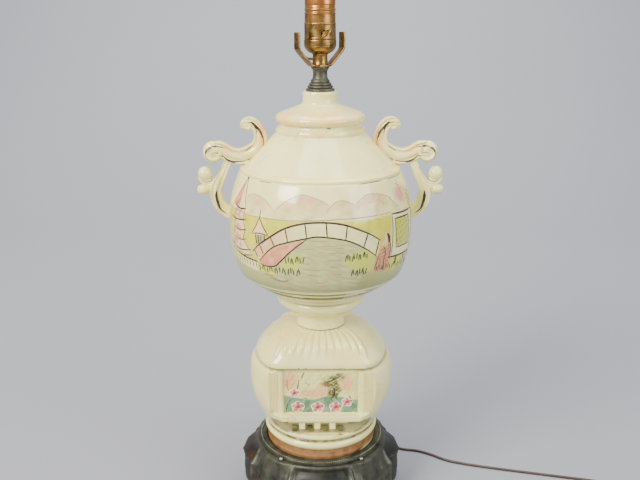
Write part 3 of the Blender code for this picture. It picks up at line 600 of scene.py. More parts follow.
# Angles from a side's middle, in degrees: middle, relief, corner rib, leg edge, leg middle.
BASE_ANGLES = (0.0, 13.0, 26.5, 33.0, 45.0)
BASE_LEVELS = (
    ((81.0, 81.4, 82.8, 85.4, 86.0), (72.0,) * 5),
    ((82.8, 83.2, 84.8, 87.2, 88.0), (70.3,) * 5),
    ((90.0, 89.6, 88.9, 89.0, 89.0), (60.5,) * 5),
    ((101.4, 99.8, 94.4, 91.8, 90.3), (52.4,) * 5),
    ((102.4, 100.8, 95.2, 92.6, 90.8), (49.4,) * 5),
    ((103.0, 101.5, 96.5, 95.0, 94.0), (32.0,) * 5),
    ((101.5, 100.5, 96.5, 97.5, 98.0), (20.0, 20.0, 19.0, 16.0, 14.0)),
    ((99.5, 99.0, 96.0, 103.0, 105.0), (18.0, 18.0, 16.0, 2.3, 2.3)),
)
BASE_INNER = (
    ((95.0, 94.5, 90.0, 85.0, 84.0), (18.0, 18.0, 16.0, 2.3, 2.3)),
    ((97.0, 95.5, 90.5, 87.0, 85.0), (32.0,) * 5),
    ((94.0, 92.5, 88.0, 86.0, 84.0), (50.0,) * 5),
    ((77.0,) * 5, (66.0,) * 5),
)


def between_keys(keys, values, at):
    """A smooth curve through values at the keys, mirrored at both ends."""
    keys, values = np.array(keys, float), np.array(values, float)
    x = np.concatenate([[-keys[1]], keys, [2 * keys[-1] - keys[-2]]])
    y = np.concatenate([[values[1]], values, [values[-2]]])
    slope = (y[2:] - y[:-2]) / (x[2:] - x[:-2])
    i = np.clip(np.searchsorted(keys, at, side="right") - 1, 0, len(keys) - 2)
    wide = keys[i + 1] - keys[i]
    t = (at - keys[i]) / wide
    return (
        values[i] * (1 + 2 * t) * (1 - t) ** 2
        + slope[i] * wide * t * (1 - t) ** 2
        + values[i + 1] * t * t * (3 - 2 * t)
        + slope[i + 1] * wide * t * t * (t - 1)
    )


def base_relief(angle, z):
    """How far the relief stands out: a hollow panel between slanting ribs, a swag with a boss, corner leaves."""
    a = np.abs(angle)
    show = np.clip((70.0 - z) / 4.0, 0.0, 1.0) * np.clip((z - 18.0) / 6.0, 0.0, 1.0)
    middle = 24.2 + 1.4 * np.clip((70.0 - z) / 50.0, 0.0, 1.0)
    rib = 2.4 * np.exp(-(((a - middle) / 1.25) ** 2)) + 1.0 * np.exp(-(((a - middle + 3.4) / 0.7) ** 2))
    panel = -2.4 * np.clip((middle - 1.4 - a) / 1.6, 0.0, 1.0)
    swag_z = 50.0 - 7.0 * np.cos(np.radians(np.clip(a, 0.0, 22.0) * 4.0)) + 6.0
    swag = 1.7 * np.exp(-(((z - swag_z) / 1.1) ** 2)) * np.clip((21.0 - a) / 2.0, 0.0, 1.0)
    boss = 2.6 * np.exp(-((a / 2.2) ** 2) - ((z - 46.5) / 3.4) ** 2)
    leaf = 1.3 * np.exp(-(((a - 11.0) / 5.0) ** 2) - ((z - 33.0) / 8.0) ** 2) * (0.6 + 0.4 * np.cos(a * 1.9))
    corner = 1.2 * np.exp(-(((a - 33.5) / 1.1) ** 2)) * np.clip((58.0 - z) / 8.0, 0.0, 1.0)
    scroll = np.exp(-(((a - 29.5) / 1.6) ** 2)) * (0.5 + 0.5 * np.cos(z * 0.62))
    scroll = scroll * np.clip((48.0 - z) / 8, 0, 1)
    return show * (rib + panel + swag + boss + leaf + corner + scroll)


def make_base_casting():
    around, fine = 512, 12
    degrees = np.arange(around) * 360.0 / around
    folded = np.abs((degrees + 45.0) % 90.0 - 45.0)
    radii = np.array([between_keys(BASE_ANGLES, r, folded) for r, _ in BASE_LEVELS])
    heights = np.array([between_keys(BASE_ANGLES, z, folded) for _, z in BASE_LEVELS])
    rows, relief_rows = [], []
    for i in range(len(BASE_LEVELS) - 1):
        before, after = max(i - 1, 0), min(i + 2, len(BASE_LEVELS) - 1)
        for t in np.arange(fine) / fine:
            blend = [
                0.5 * (2 * k[i] + (k[i + 1] - k[before]) * t
                       + (2 * k[before] - 5 * k[i] + 4 * k[i + 1] - k[after]) * t * t
                       + (3 * k[i] - k[before] - 3 * k[i + 1] + k[after]) * t**3)
                for k in (radii, heights)
            ]
            raised = base_relief(folded, blend[1])
            rows.append((blend[0] + raised, blend[1]))
            relief_rows.append(raised)
    rows.append((radii[-1], heights[-1]))
    relief_rows.append(np.zeros(around))
    # The inner rows get a relief of -3.0 only so that the colour below paints them dark, as painted shade inside
    # the casting.
    for r, z in BASE_INNER:
        rows.append((between_keys(BASE_ANGLES, r, folded), between_keys(BASE_ANGLES, z, folded)))
        relief_rows.append(np.full(around, -3.0))
    for r, z in ((PIPE_HOLE_R, 66.0), (PIPE_HOLE_R, DECK_Z), (60.0, DECK_Z), (80.4, DECK_Z)):
        rows.append((np.full(around, r), np.full(around, z)))
        relief_rows.append(np.zeros(around))
    turn = np.radians(degrees)
    points = np.concatenate([np.stack([r * np.cos(turn), r * np.sin(turn), z], axis=1) for r, z in rows])
    base = outward(mesh_object("cast_base", points, grid_faces(len(rows), around, ring=True),
                               FINISHES["bronze_patina"], 55.0))
    raised = np.concatenate(relief_rows)
    colours = np.ones((len(points), 3)) * (0.80 + 0.20 * drift(points, 34.0, 3))[:, None]
    # Painted shade and light: darker in the sunk panel and on the inner walls, lighter on the raised ribs, swag
    # and boss.
    colours *= np.clip(1.0 + raised * 0.3, 0.3, 1.7)[:, None]
    # Rubbed wear on the ridges, partly a painted highlight: a pale yellow laid in patches only where the relief
    # stands out.
    worn_and_highlit = np.clip((drift(points, 11.0, 5) - 0.62) * 4.0, 0.0, 1.0) * np.clip(raised * 0.8, 0.0, 1.0)
    colours = wash(colours, worn_and_highlit, "#FFE9B8", 0.5)
    # Painted light: a warm, pale wash in patches on the left side of the base only, the side the light falls on.
    brown = np.clip((drift(points, 26.0, 8) - 0.6) * 3.0, 0.0, 1.0)
    brown = brown * np.clip((-points[:, 0] - 62.0) / 20.0, 0.0, 1.0)
    set_paint(base, wash(colours, brown, "#E8A584", 0.7))
    return finish_piece(base, "lamp", "dark_bronze", "base_casting")


def make_gallery_ring():
    sizes = bpy.context.scene.urn_lamp_sizes
    low = DECK_Z + 0.3
    outer = spline([(69.5, low), (79.9, low), (79.9, low), (80.0, low + 1.1), (78.6, low + 1.3),
                    (78.6, low + 1.3),
                    (78.2, low + 2.6), (77.0, RING_TOP_Z - 0.9), (75.6, RING_TOP_Z - 0.5), (73.6, RING_TOP_Z),
                    (71.0, RING_TOP_Z), (69.5, RING_TOP_Z - 1.2), (69.5, RING_TOP_Z - 1.2),
                    (69.5, low + 0.2)], 0.7)
    ring = turned("gallery_ring", outer, FINISHES["bronze_patina"], 160)
    points = points_of(ring)
    tone = 0.95 + 0.35 * drift(points, 12.0, 4)
    set_paint(ring, wash(np.ones((len(points), 3)) * tone[:, None], drift(points, 22.0, 9), "#8FA39C", 0.45))
    finish_piece(ring, "lamp", "dark_bronze", "beaded_ring")
    bm = bmesh.new()
    bmesh.ops.create_icosphere(bm, subdivisions=1, radius=sizes.bead_radius,
                               matrix=Matrix.Translation((0.0775, 0.0, (RING_TOP_Z - 0.5) * MM)))
    bead = mesh_object("gallery_beads", [], [], None)
    bm.to_mesh(bead.data)
    bm.free()
    in_a_row(bead, sizes.bead_count, FINISHES["bronze_patina"], turn=math.tau / sizes.bead_count)
    bead.data.shade_smooth()
    points = points_of(bead)
    # Painted highlight: each bead is painted brighter overall and brightest at its top.
    high = np.clip((points[:, 2] - RING_TOP_Z + 0.7) / 0.9, 0.0, 1.0)
    set_paint(bead, np.ones((len(points), 3)) * (1.4 + 3.2 * high)[:, None])
    finish_piece(bead, "lamp", "dark_bronze")


def make_ring_screws():
    """Round-headed screws with a slot, set at 37 degrees either side of the front and the back."""
    reach, lean = 81.9, math.radians(37.0)
    head = DECK_Z + 1.8
    for i, (sx, sy) in enumerate(((-1, -1), (1, -1), (1, 1), (-1, 1))):
        profile = spline([(0.05, head + 1.75), (1.3, head + 1.45), (2.25, head + 0.7), (2.4, head),
                          (2.4, head),
                          (1.45, head - 0.1), (1.45, head - 0.1), (1.45, 64.2), (0.05, 64.0)][::-1], 0.4)
        screw = turned(f"ring_screw_head_{i + 1}", profile, FINISHES["zinc_plate"], 28)
        spin = math.radians(35.0 + 50.0 * i)
        slot = block("slot", (-3.0, -0.32, head + 1.0), (3.0, 0.32, head + 2.4))
        slot.data.transform(Matrix.Rotation(spin, 4, "Z"))
        cut(screw, slot)
        place = Vector((sx * reach * math.sin(lean), sy * reach * math.cos(lean), 0.0)) * MM
        screw.data.transform(Matrix.Translation(place))
        finish_piece(screw, "lamp", "zinc_steel", f"ring_screw_{i + 1}")


# ---------------------------------------------------------------- lower body


def roof_at(s):
    """The roof's plan at s, from 0 at the crown to 1 at the eave: half lengths, straight half width, height."""
    swell = s**0.85
    half_x = 30.5 + (80.6 - 30.5) * swell
    half_y = 30.5 + (61.9 - 30.5) * swell
    return half_x, half_y, 48.0 * s, ROOF_TOP_Z - 29.0 * s**2.3


def roof_loop(half_x, half_y, straight, z, corner=20):
    loop = []
    for side in (1, -1):
        for t in np.linspace(-math.pi / 2, math.pi / 2, corner):
            loop.append((side * (straight + (half_x - straight) * math.cos(t)), side * half_y * math.sin(t),
                         z))
    return loop


def roof_height(x, y):
    """The roof surface's height over a point of the plan."""
    low, high = 0.0, 1.0
    for _ in range(26):
        s = (low + high) / 2
        half_x, half_y, straight, _ = roof_at(s)
        reach = max(abs(x) - straight, 0.0) / max(half_x - straight, 1e-6)
        if math.hypot(reach, y / half_y) > 1.0:
            low = s
        else:
            high = s
    return roof_at(low)[3]


def roof_part():
    loops = [roof_loop(79.6, 60.9, 48.0, EAVE_Z - 1.4), roof_loop(81.0, 62.3, 48.0, EAVE_Z)]
    loops.append(roof_loop(81.0, 62.3, 48.0, EAVE_Z + 4.2))
    loops += [roof_loop(*roof_at(s)) for s in np.linspace(1.0, 0.0, 26)]
    count = len(loops[0])
    faces = grid_faces(len(loops), count)
    faces += [tuple(reversed(range(count))), tuple(range((len(loops) - 1) * count, len(loops) * count))]
    return outward(mesh_object("roof", [p for loop in loops for p in loop], faces, None))


def rib_parts():
    """Ribs that fan out from the crown over the front and back of the roof."""
    count = bpy.context.scene.urn_lamp_sizes.rib_count
    parts = []
    for side in (-1, 1):
        for i in range(count):
            k = 2.0 * i / (count - 1) - 1.0
            top = np.array((31.5 * math.sin(k * 0.98), 31.5 * math.cos(k * 0.98)))
            foot = np.array((k * 55.0, 59.0 - 2.0 * k * k))
            path, radii = [], []
            for t in np.linspace(0.0, 1.0, 18):
                x, y = top + (foot - top) * t
                path.append((x, side * y, roof_height(x, y) + 0.1))
                radii.append((1.9 + 1.5 * t) * min(1.0, 0.25 + 4.5 * (1.0 - t)))
            parts.append(tube("rib", path, radii, None, 10))
    return parts


def barrel_line():
    turns = np.radians(np.arange(-62, 75, 17))
    moulding = [(66.6 + 5.2 * math.cos(a), 93.2 + 5.2 * math.sin(a)) for a in turns]
    return [(66.0, 73.6), (69.0, 73.6), (69.0, 77.6), (69.6, 78.0), (69.6, 79.2), (68.9, 79.6), (68.9, 88.4),
            *moulding, (66.2, 98.8), (66.2, 100.6), (69.6, 101.2), (70.5, 102.6), (70.5, 105.4),
            (69.8, 106.6),
            (71.6, 107.6), (75.3, 112.0), (78.2, 118.0), (80.8, 124.0), (83.5, 131.0), (85.8, 138.0),
            (87.6, 145.0),
            (88.9, 152.0), (89.7, 159.0), (89.8, 166.0), (89.6, 172.0), (88.9, 178.0), (87.8, 183.0),
            (86.4, 186.4),
            (84.4, 188.6), (81.0, 189.8), (70.0, 190.2)]


def barrel_part():
    line = barrel_line()
    count = 144
    faces = grid_faces(len(line), count)
    faces += [tuple(reversed(range(count))), tuple(range((len(line) - 1) * count, len(line) * count))]
    return outward(mesh_object("barrel", turned_points(line, count), faces, None))


def lower_body_paint(points):
    x, y, z = points.T
    round_r = np.hypot(x, y)
    colours = np.tile(np.array(bpy.context.scene.urn_lamp_colours.glaze), (len(points), 1))
    colours = wash(colours, drift(points, 60.0, 11), "#F2EFD8", 0.5)
    colours = wash(colours, drift(points, 38.0, 12) ** 2, "#DDD8AE", 0.45)
    colours = wash(colours, (drift(points, 45.0, 13) - 0.55) * 3.0 * (z > 150), "#EED3B4", 0.35)
    rise = 4.6 * np.clip((x - 44.0) / 10.0, 0, 1)
    band = np.clip((88.9 - z) / 0.9, 0, 1) * np.clip((z - 73.0 - rise) / 0.8, 0, 1)
    colours = wash(colours, band, "#7F5F4C", 0.95)
    colours = wash(colours, band * drift(points, 17.0, 14) ** 2, "#6E4C44", 0.85)
    colours = wash(colours, band * np.clip(drift(points, 9.0, 15) * 2 - 1, 0, 1), "#967456", 0.7)
    groove = np.clip((z - 97.2) / 0.8, 0, 1) * np.clip((102.0 - z) / 0.9, 0, 1) * (round_r < 70.6)
    colours = wash(colours, groove * (0.6 + 0.4 * drift(points, 15.0, 16)), "#443420", 1.0)
    stain = np.clip((z - 104.8) / 1.5, 0, 1) * np.clip((107.6 - z) / 1.2, 0, 1) * (round_r > 64)
    colours = wash(colours, stain * np.clip(drift(points, 13.0, 17) * 1.6 - 0.6, 0, 1), "#6A5234", 0.8)
    # Painted shade: a grey in the recess behind the fret band, under the ledge.
    recess_shade = (np.abs(y) < 60.4) * (z > 106.0) * (z < 124.2) * (np.abs(x) < 62.0) * (np.abs(y) > 50.0)
    colours = wash(colours, recess_shade * 1.0, "#868268", 0.9)
    # Painted shadow under the eave, across the top of each window.
    under = np.clip((z - 188.4) / 2.4, 0, 1) * np.clip((193.0 - z) / 0.6, 0,
                                                       1) * (np.abs(y) > 54) * (np.abs(x) < 62)
    colours = wash(colours, under, "#57543F", 0.85)
    # Painted shade in the crease where the barrel's shoulder meets the eave lip.
    crease = np.clip((z - 188.6) / 1.2, 0, 1) * np.clip((194.0 - z) / 1.5, 0, 1) * (round_r > 70.0)
    colours = wash(colours, crease, "#8F8B66", 0.7)
    chips = stroke(x, z, [(-27.0, 193.6), (-16.0, 193.4)], 1.4)
    chips = chips + stroke(x, z, [(16.0, 193.2), (29.0, 193.4)], 1.8)
    return wash(colours, chips * (np.abs(y) > 58) * (drift(points, 4.0, 18) > 0.4), "#3A3527", 0.9)


def make_lower_body():
    core = barrel_part()
    for side in (-1, 1):
        inner, outer = sorted((side * PILASTER_Y, side * 140.0))
        cut(core, block("front", (-120, inner, 132.0), (120, outer, 200.0)))
        inner, outer = sorted((side * LEDGE_Y, side * 140.0))
        cut(core, block("ledge", (-120, inner, 123.0), (120, outer, 132.5)))
        inner, outer = sorted((side * WINDOW_Y, side * 140.0))
        cut(core, block("fret", (-120, inner, 106.6), (120, outer, 124.0)))
        cut(core, block("window", (-46.0, inner, 132.0), (46.0, outer, 190.5)))
    body = fused("lower_ceramic", [core, roof_part(), *rib_parts()], 1.2, 3, FINISHES["lead_glaze"])
    set_paint(body, lower_body_paint(points_of(body)))
    finish_piece(body, "lamp", "cream_glaze", "lower_body")


def both_faces(obj):
    """Adds a copy of a shape, turned half way round the lamp."""
    bm = bmesh.new()
    bm.from_mesh(obj.data)
    copy = bm.copy()
    bmesh.ops.rotate(copy, verts=copy.verts, matrix=Matrix.Rotation(math.pi, 3, "Z"))
    turned_mesh = bpy.data.meshes.new("turned")
    copy.to_mesh(turned_mesh)
    bm.from_mesh(turned_mesh)
    bm.to_mesh(obj.data)
    bm.free()
    copy.free()
    return obj


def rounded_bar(name, half_width, height, depth):
    """A half-round upright bar with domed ends, flat at the back, standing towards -Y."""
    rows = []
    for t, shrink in ((0.0, 0.25), (0.02, 0.7), (0.05, 1.0), (0.95, 1.0), (0.98, 0.7), (1.0, 0.25)):
        for a in np.linspace(0.0, math.pi, 6):
            rows.append((half_width * shrink * math.cos(a), -depth * shrink * math.sin(a), height * t))
    faces = grid_faces(6, 6)
    faces += [tuple(reversed(range(6))), tuple(range(30, 36))]
    return outward(mesh_object(name, rows, faces, None))


def plain_glaze(obj, code="#ECE7C9", grime=0.3):
    points = points_of(obj)
    colours = np.tile(np.array(srgb(code)), (len(points), 1))
    set_paint(obj, wash(colours, drift(points, 14.0, 21), "#B9AE86", grime))
    return obj


def make_pavilion_trim():
    """Fluted pilasters, the fret band's hanging teeth and its sunk squares, front and back."""
    glaze, sizes = FINISHES["lead_glaze"], bpy.context.scene.urn_lamp_sizes
    pitch = sizes.flute_pitch / MM
    parts = []
    for side in (-1, 1):
        first = -61.8 if side < 0 else 52.0
        bar = rounded_bar("flutes", pitch * 0.42, 54.0, 0.9)
        in_a_row(bar, 6, glaze, start=(first, -PILASTER_Y + 0.25, 134.5), step=(pitch, 0, 0))
        parts.append(bar)
    teeth = block("teeth", (-3.6, -61.6, 112.0), (3.6, -56.2, 122.6), glaze)
    in_a_row(teeth, 3, glaze, start=(-23.0, 0, 0), step=(18.5, 0, 0))
    rail = block("rail", (-40.0, -61.8, 120.4), (33.0, -56.2, 123.8), glaze)
    # The squares are painted near black as the shade in the sunk fret.
    squares = block("squares", (-3.4, -60.4, 109.0), (3.4, -56.2, 115.6), glaze)
    in_a_row(squares, 4, glaze, start=(-32.2, 0, 0), step=(18.5, 0, 0))
    pieces = (("pilaster_flutes", parts, "#E6E1BE", 0.55), ("fret_teeth", [teeth, rail], "#EFEBD2", 0.15),
              ("fret_squares_shade", [squares], "#37342A", 0.3))
    for name, group, code, grime in pieces:
        bm = bmesh.new()
        for part in group:
            bm.from_mesh(part.data)
            bpy.data.objects.remove(part)
        made = mesh_object(name, [], [], None)
        bm.to_mesh(made.data)
        bm.free()
        made.data.materials.clear()
        made.data.materials.append(glaze)
        if name != "pilaster_flutes":
            soft = made.modifiers.new("Edges", "BEVEL")
            soft.width = 0.7 * MM
            soft.segments = 3
            baked(made)
        both_faces(made)
        made.data.shade_smooth()
        made.data.set_sharp_from_angle(angle=math.radians(50.0))
        plain_glaze(made, code, grime)
        finish_piece(made, "lamp", "cream_glaze")


FLOWERS = ((-28.0, 140.5, 8.4), (-4.0, 140.0, 8.4), (18.0, 140.0, 8.4), (31.5, 147.0, 7.0),
           (-32.0, 159.0, 6.6))


def window_paint(points):
    x, z = points[:, 0], points[:, 2]
    colours = np.tile(np.array(srgb("#DCDDB6")), (len(points), 1))
    colours = wash(colours, drift(points, 26.0, 31), "#E9E6C6", 0.7)
    rosy = (
        spot(x, z, (-37.0, 175.0), 9.0, 14.0, 0.9) + spot(x, z, (-8.0, 158.5), 20.0, 6.0, 0.8)
        + spot(x, z, (31.0, 172.0), 9.0, 12.0, 0.9) + spot(x, z, (4.0, 167.0), 9.0, 6.0, 0.8)
    )
    colours = wash(colours, rosy, "#D9A898", 0.75)
    colours = wash(colours, (x > 39.5) * 1.0, "#D3D3AE", 0.9)
    water = np.clip((153.5 + 2.5 * np.sin(x / 9.0) - z) / 2.0, 0, 1)
    colours = wash(colours, water, "#6C8F85", 0.95)
    colours = wash(colours, water * drift(points, 9.0, 33) ** 2, "#5C7565", 0.9)
    colours = wash(colours, water * np.clip(drift(points, 13.0, 34) * 2 - 1, 0, 1), "#93A29B", 0.8)
    colours = wash(colours, np.clip((-40.0 - x) / 3.0, 0, 1) * (z < 156), "#8DA58A", 0.7)
    tree = area(x, z, [(-2, 171), (4, 176), (10, 181), (20, 185), (31, 184), (27, 178), (20, 174), (25, 163),
                       (20, 156),
                       (12, 150), (8, 156), (9, 166), (2, 169)], 3.0)
    colours = wash(colours, tree * np.clip(0.35 + drift(points, 5.0, 35), 0, 1), "#3F4127", 1.0)
    colours = wash(colours, tree * np.clip(drift(points, 4.0, 36) * 2.4 - 1.3, 0, 1), "#A3A274", 0.8)
    light = spot(x, z, (3.0, 180.0), 8.0, 6.0, 0.7) * np.clip(drift(points, 4.0, 37) * 2 - 0.9, 0, 1)
    colours = wash(colours, light, "#A9B765", 0.8)
    for cx, cz, size in FLOWERS:
        for i in range(5):
            a = math.tau * (i / 5 + 0.25)
            petal = spot(x, z, (cx + 0.5 * size * math.cos(a), cz + 0.45 * size * math.sin(a)), 0.42 * size,
                         0.38 * size)
            colours = wash(colours, petal, "#D7A3A4" if i % 2 else "#BC6F7A", 0.85)
        colours = wash(colours, spot(x, z, (cx, cz), 0.26 * size, 0.24 * size), "#A53F60", 0.9)
    return colours


def make_window_scene():
    """A painted garden at the back of each window, with its flowers outlined in raised slip."""
    xs, zs = np.linspace(-45.4, 45.4, 152), np.linspace(132.4, 190.0, 97)
    grid_x, grid_z = np.meshgrid(xs, zs)
    flat = np.stack([grid_x.ravel(), np.full(grid_x.size, -WINDOW_Y - 0.5), grid_z.ravel()], axis=1)
    flat[:, 1] -= 0.5 * (drift(flat, 7.0, 41) - 0.5)
    back = flat.copy()
    back[:, 1] = -WINDOW_Y + 1.0
    count = len(flat)
    faces = grid_faces(97, 152, around=False)
    faces += [tuple(count + i for i in reversed(f)) for f in faces]
    edge = [*range(152), *range(303, 152 * 97, 152), *range(152 * 97 - 2, 152 * 96 - 1, -1),
            *range(152 * 95, 0, -152)]
    faces += [(a, b, count + b, count + a) for a, b in zip(edge, edge[1:] + edge[:1])]
    panel = mesh_object("window_painting", np.concatenate([flat, back]), faces, FINISHES["lead_glaze"])
    outward(panel)
    both_faces(panel)
    painted = points_of(panel)
    painted[painted[:, 1] > 0.0, 0] *= -1.0
    set_paint(panel, window_paint(painted))
    finish_piece(panel, "lamp", "cream_glaze")
    ink, slip = [], []
    toward = (0.0, -1.0, 0.0)

    def brush(store, line, width, step=1.2):
        path = spline([(x, -WINDOW_Y - 0.62, z) for x, z in line], step)
        store.append((path, [toward] * len(path), tapered(len(path), width)))

    for line, width in (
        ([(-26, 178), (-27.5, 171), (-28, 164)], 1.3), ([(-40, 178), (-41, 170), (-39, 162)], 0.9),
        ([(-20, 187), (-22, 182), (-24, 178)], 1.1), ([(-19, 173), (-16, 171), (-14, 169)], 0.8),
        ([(-36, 152), (-41, 142), (-42, 133)], 1.1), ([(11, 152), (15, 148), (22, 145)], 0.9),
        ([(-30, 134), (-20, 135), (-10, 134)], 0.9), ([(14, 168), (17, 160), (13, 153)], 1.4),
        ([(6, 173), (14, 176), (24, 182)], 1.5), ([(33, 156), (36, 152), (37, 148)], 1.0),
        ([(-24, 153), (-14, 151), (-8, 153)], 0.8), ([(22, 158), (18, 154), (20, 149)], 1.0),
    ):
        brush(ink, line, width)
    for cx, cz, size in FLOWERS:
        for i in range(5):
            a = math.tau * (i / 5 + 0.25)
            px, pz = cx + 0.5 * size * math.cos(a), cz + 0.45 * size * math.sin(a)
            ring = [(px + 0.46 * size * math.cos(a + t), pz + 0.42 * size * math.sin(a + t))
                    for t in np.linspace(-2.0, 2.0, 7)]
            brush(slip, ring, 1.0)
        brush(ink, [(cx - 0.2 * size, cz - 0.2 * size), (cx, cz), (cx + 0.25 * size, cz + 0.2 * size)], 0.8)
    for name, store, finish in (("window_ink", ink, "brush_enamel"), ("flower_slip", slip, "white_slip")):
        finish_piece(both_faces(ink_piece(name, store, FINISHES[finish])), "lamp", "cream_glaze")


# ---------------------------------------------------------------- urn

FOOT_LINE = [(29.9, 229.6), (29.3, 234.0), (29.5, 242.0), (32.5, 246.6), (38.5, 250.7), (46.5, 255.0),
             (52.2, 259.4),
             (53.8, 263.0), (52.8, 266.8), (50.6, 269.4), (50.6, 269.4), (55.4, 270.6), (57.2, 272.4),
             (57.4, 274.6),
             (57.4, 274.6), (66.0, 279.6), (75.0, 285.0), (75.0, 285.0), (74.0, 286.6), (74.0, 286.6),
             (82.0, 290.6),
             (90.0, 295.2), (90.0, 295.2), (89.4, 296.8), (89.4, 296.8), (95.0, 299.2), (98.6, 303.0)]
DRUM_LINE = [(98.6, 303.0), (101.6, 309.6), (104.8, 321.0), (107.4, 335.0), (108.9, 349.0), (109.2, 362.0),
             (108.5, 376.0), (106.2, 390.0), (102.8, 402.5), (98.9, 413.5), (95.8, 421.0)]
SHOULDER_LINE = [(95.8, 421.0), (94.0, 422.2), (94.0, 422.2), (94.6, 424.0), (94.2, 426.0), (89.0, 428.6),
                 (76.0, 433.0),
                 (63.0, 440.2), (54.0, 448.6), (49.8, 456.0), (48.6, 461.0), (48.6, 461.0), (50.6, 462.2),
                 (51.8, 465.0), (51.8, 469.0), (50.6, 472.0), (48.2, 473.8), (48.2, 473.8), (47.4, 475.6),
                 (47.6, 477.2), (47.6, 477.2), (51.0, 479.2), (52.4, 482.4), (51.4, 485.6), (47.0, 488.8),
                 (38.0, 492.2), (29.0, 495.6), (23.6, 497.4), (23.6, 497.4), (21.0, 499.6), (20.2, 505.0),
                 (20.2, 511.4), (19.2, 512.9), (6.0, 512.9)]
DRUM_FINE = spline(DRUM_LINE, 1.2)


def on_drum(u, z):
    """The drum's surface point and normal at u millimetres round from the front, and at a height."""
    r = float(np.interp(z, DRUM_FINE[:, 1], DRUM_FINE[:, 0]))
    lean = (float(np.interp(z + 1, DRUM_FINE[:, 1], DRUM_FINE[:, 0]))
            - float(np.interp(z - 1, DRUM_FINE[:, 1], DRUM_FINE[:, 0]))) / 2
    a = u / DRUM_R
    normal = Vector((math.sin(a), -math.cos(a), -lean)).normalized()
    return (r * math.sin(a), -r * math.cos(a), z), tuple(normal)


BRIDGE_TOP = [(-83, 345), (-74, 354), (-63, 362), (-40, 377), (-17, 384), (7, 385), (29, 381), (54, 370),
              (70, 360)]
BRIDGE_LOW = [(-74, 336), (-55, 354), (-37, 362), (-15, 368), (-3, 370), (15, 368), (33, 363), (51, 353),
              (66, 342)]
HILLS = (
    [(-99, 405), (-90, 408), (-78, 407), (-66, 403), (-52, 393)],
    [(-53, 396), (-40, 406), (-23, 413), (-10, 411), (2, 407), (9, 403)],
    [(7, 397), (16, 405), (26, 407), (40, 402)],
    [(41, 403), (52, 409), (65, 411), (84, 407), (93, 401), (106, 391)],
)
DARK_LINES = (
    (1.7, BRIDGE_TOP), (1.4, BRIDGE_LOW),
    (1.2, [(-80, 347), (-76, 340)]), (1.2, [(-72, 355), (-67, 345)]), (1.2, [(-57, 366), (-52, 356)]),
    (1.2, [(-39, 377), (-36, 363)]), (1.2, [(-17, 384), (-15, 369)]), (1.3, [(6, 385), (7, 370)]),
    (1.2, [(29, 381), (27, 365)]), (1.4, [(53, 370), (48, 355)]), (1.4, [(68, 361), (64, 344)]),
    (0.9, [(-108, 424), (-118, 408), (-129, 391)]), (0.9, [(-108, 424), (-104, 408), (-99, 392)]),
    (1.4, [(-124, 391), (-110, 389), (-97, 391)]), (1.2, [(-132, 377), (-114, 376), (-95, 379)]),
    (1.2, [(-120, 367), (-107, 365), (-94, 368)]), (1.0, [(-121, 356), (-108, 354), (-94, 357)]),
    (1.2, [(-133, 347), (-110, 342), (-86, 346)]), (1.0, [(-129, 341), (-108, 336), (-85, 340)]),
    (0.9, [(-98, 391), (-101, 379), (-96, 368), (-100, 357), (-93, 349), (-85, 339)]),
    (0.8, [(-118, 389), (-121, 367), (-122, 346)]),
    (0.9, [(-72, 394), (-73, 384)]), (1.0, [(-73, 385), (-77, 376), (-84, 366)]),
    (1.2, [(-73, 385), (-67, 376), (-60, 367)]), (1.0, [(-83, 366), (-72, 368), (-60, 367)]),
    (1.3, [(-78, 366), (-76, 355)]), (1.3, [(-74, 366), (-73, 356)]), (1.0, [(-70, 366), (-70, 358)]),
    (1.0, [(-65, 367), (-65, 360)]),
    (1.3, [(-75, 333), (-66, 331), (-53, 333), (-45, 340), (-31, 354), (-15, 367)]),
    (1.6, [(-120, 338), (-98, 335), (-77, 334)]),
    (1.6, [(89, 386), (114, 384), (140, 383)]), (1.2, [(90, 386), (90, 362), (89, 338)]),
    (1.4, [(94, 380), (112, 379), (129, 378)]), (1.3, [(95, 380), (96, 362), (97, 347)]),
    (1.2, [(97, 346), (114, 345), (131, 344)]), (1.8, [(84, 337), (110, 335), (138, 334)]),
    (1.4, [(140, 383), (138, 360), (137, 334)]), (1.1, [(129, 378), (130, 360), (131, 344)]),
    (2.6, [(99, 335), (99, 326)]), (2.4, [(119, 334), (119, 326)]), (2.2, [(134, 333), (134, 326)]),
    (2.8, [(80, 366), (83, 362), (84, 355)]), (1.0, [(84, 358), (87, 347), (85, 338)]),
    (0.9, [(75, 352), (79, 344), (76, 336)]), (0.8, [(68, 342), (66, 332), (65, 326)]),
    (1.0, [(76, 336), (78, 330), (77, 324)]),
)
SOFT_LINES = (
    (0.8, [(-150, 386), (-96, 386)]), (0.9, [(-96, 385), (-40, 386), (20, 388), (88, 388)]),
    *((0.7, line) for line in HILLS),
    (0.6, [(-30, 357), (-14, 356), (-8, 357)]), (0.6, [(-24, 346), (-14, 347), (-9, 344)]),
    (0.6, [(-12, 366), (6, 365)]), (0.6, [(-5, 359), (9, 360), (18, 359)]), (0.7, [(-4, 352), (4, 353)]),
    (0.7, [(9, 351), (18, 352), (27, 350)]), (0.6, [(16, 357), (26, 356)]),
    (0.7, [(5, 343), (16, 343), (24, 344)]),
    (0.6, [(-28, 340), (-12, 339)]), (0.6, [(-20, 333), (-4, 332), (5, 333)]), (0.6, [(9, 336), (20, 335)]),
    (2.2, [(-62, 318), (-47, 315), (-38, 317)]), (1.4, [(-70, 321), (-56, 320)]),
    (0.6, [(42, 313), (56, 312)]), (0.6, [(-16, 326), (2, 325)]),
    (0.6, [(12, 327), (24, 326)]), (0.7, [(-6, 317), (0, 316), (8, 318)]), (0.6, [(-3, 312), (6, 311)]),
)
TUFTS = ((-40, 337, 22, 4, 8), (26, 341, 28, 2, 11), (-76, 324, 54, 1, 16), (34, 323, 20, 1, 8),
         (66, 325, 66, -6, 18))


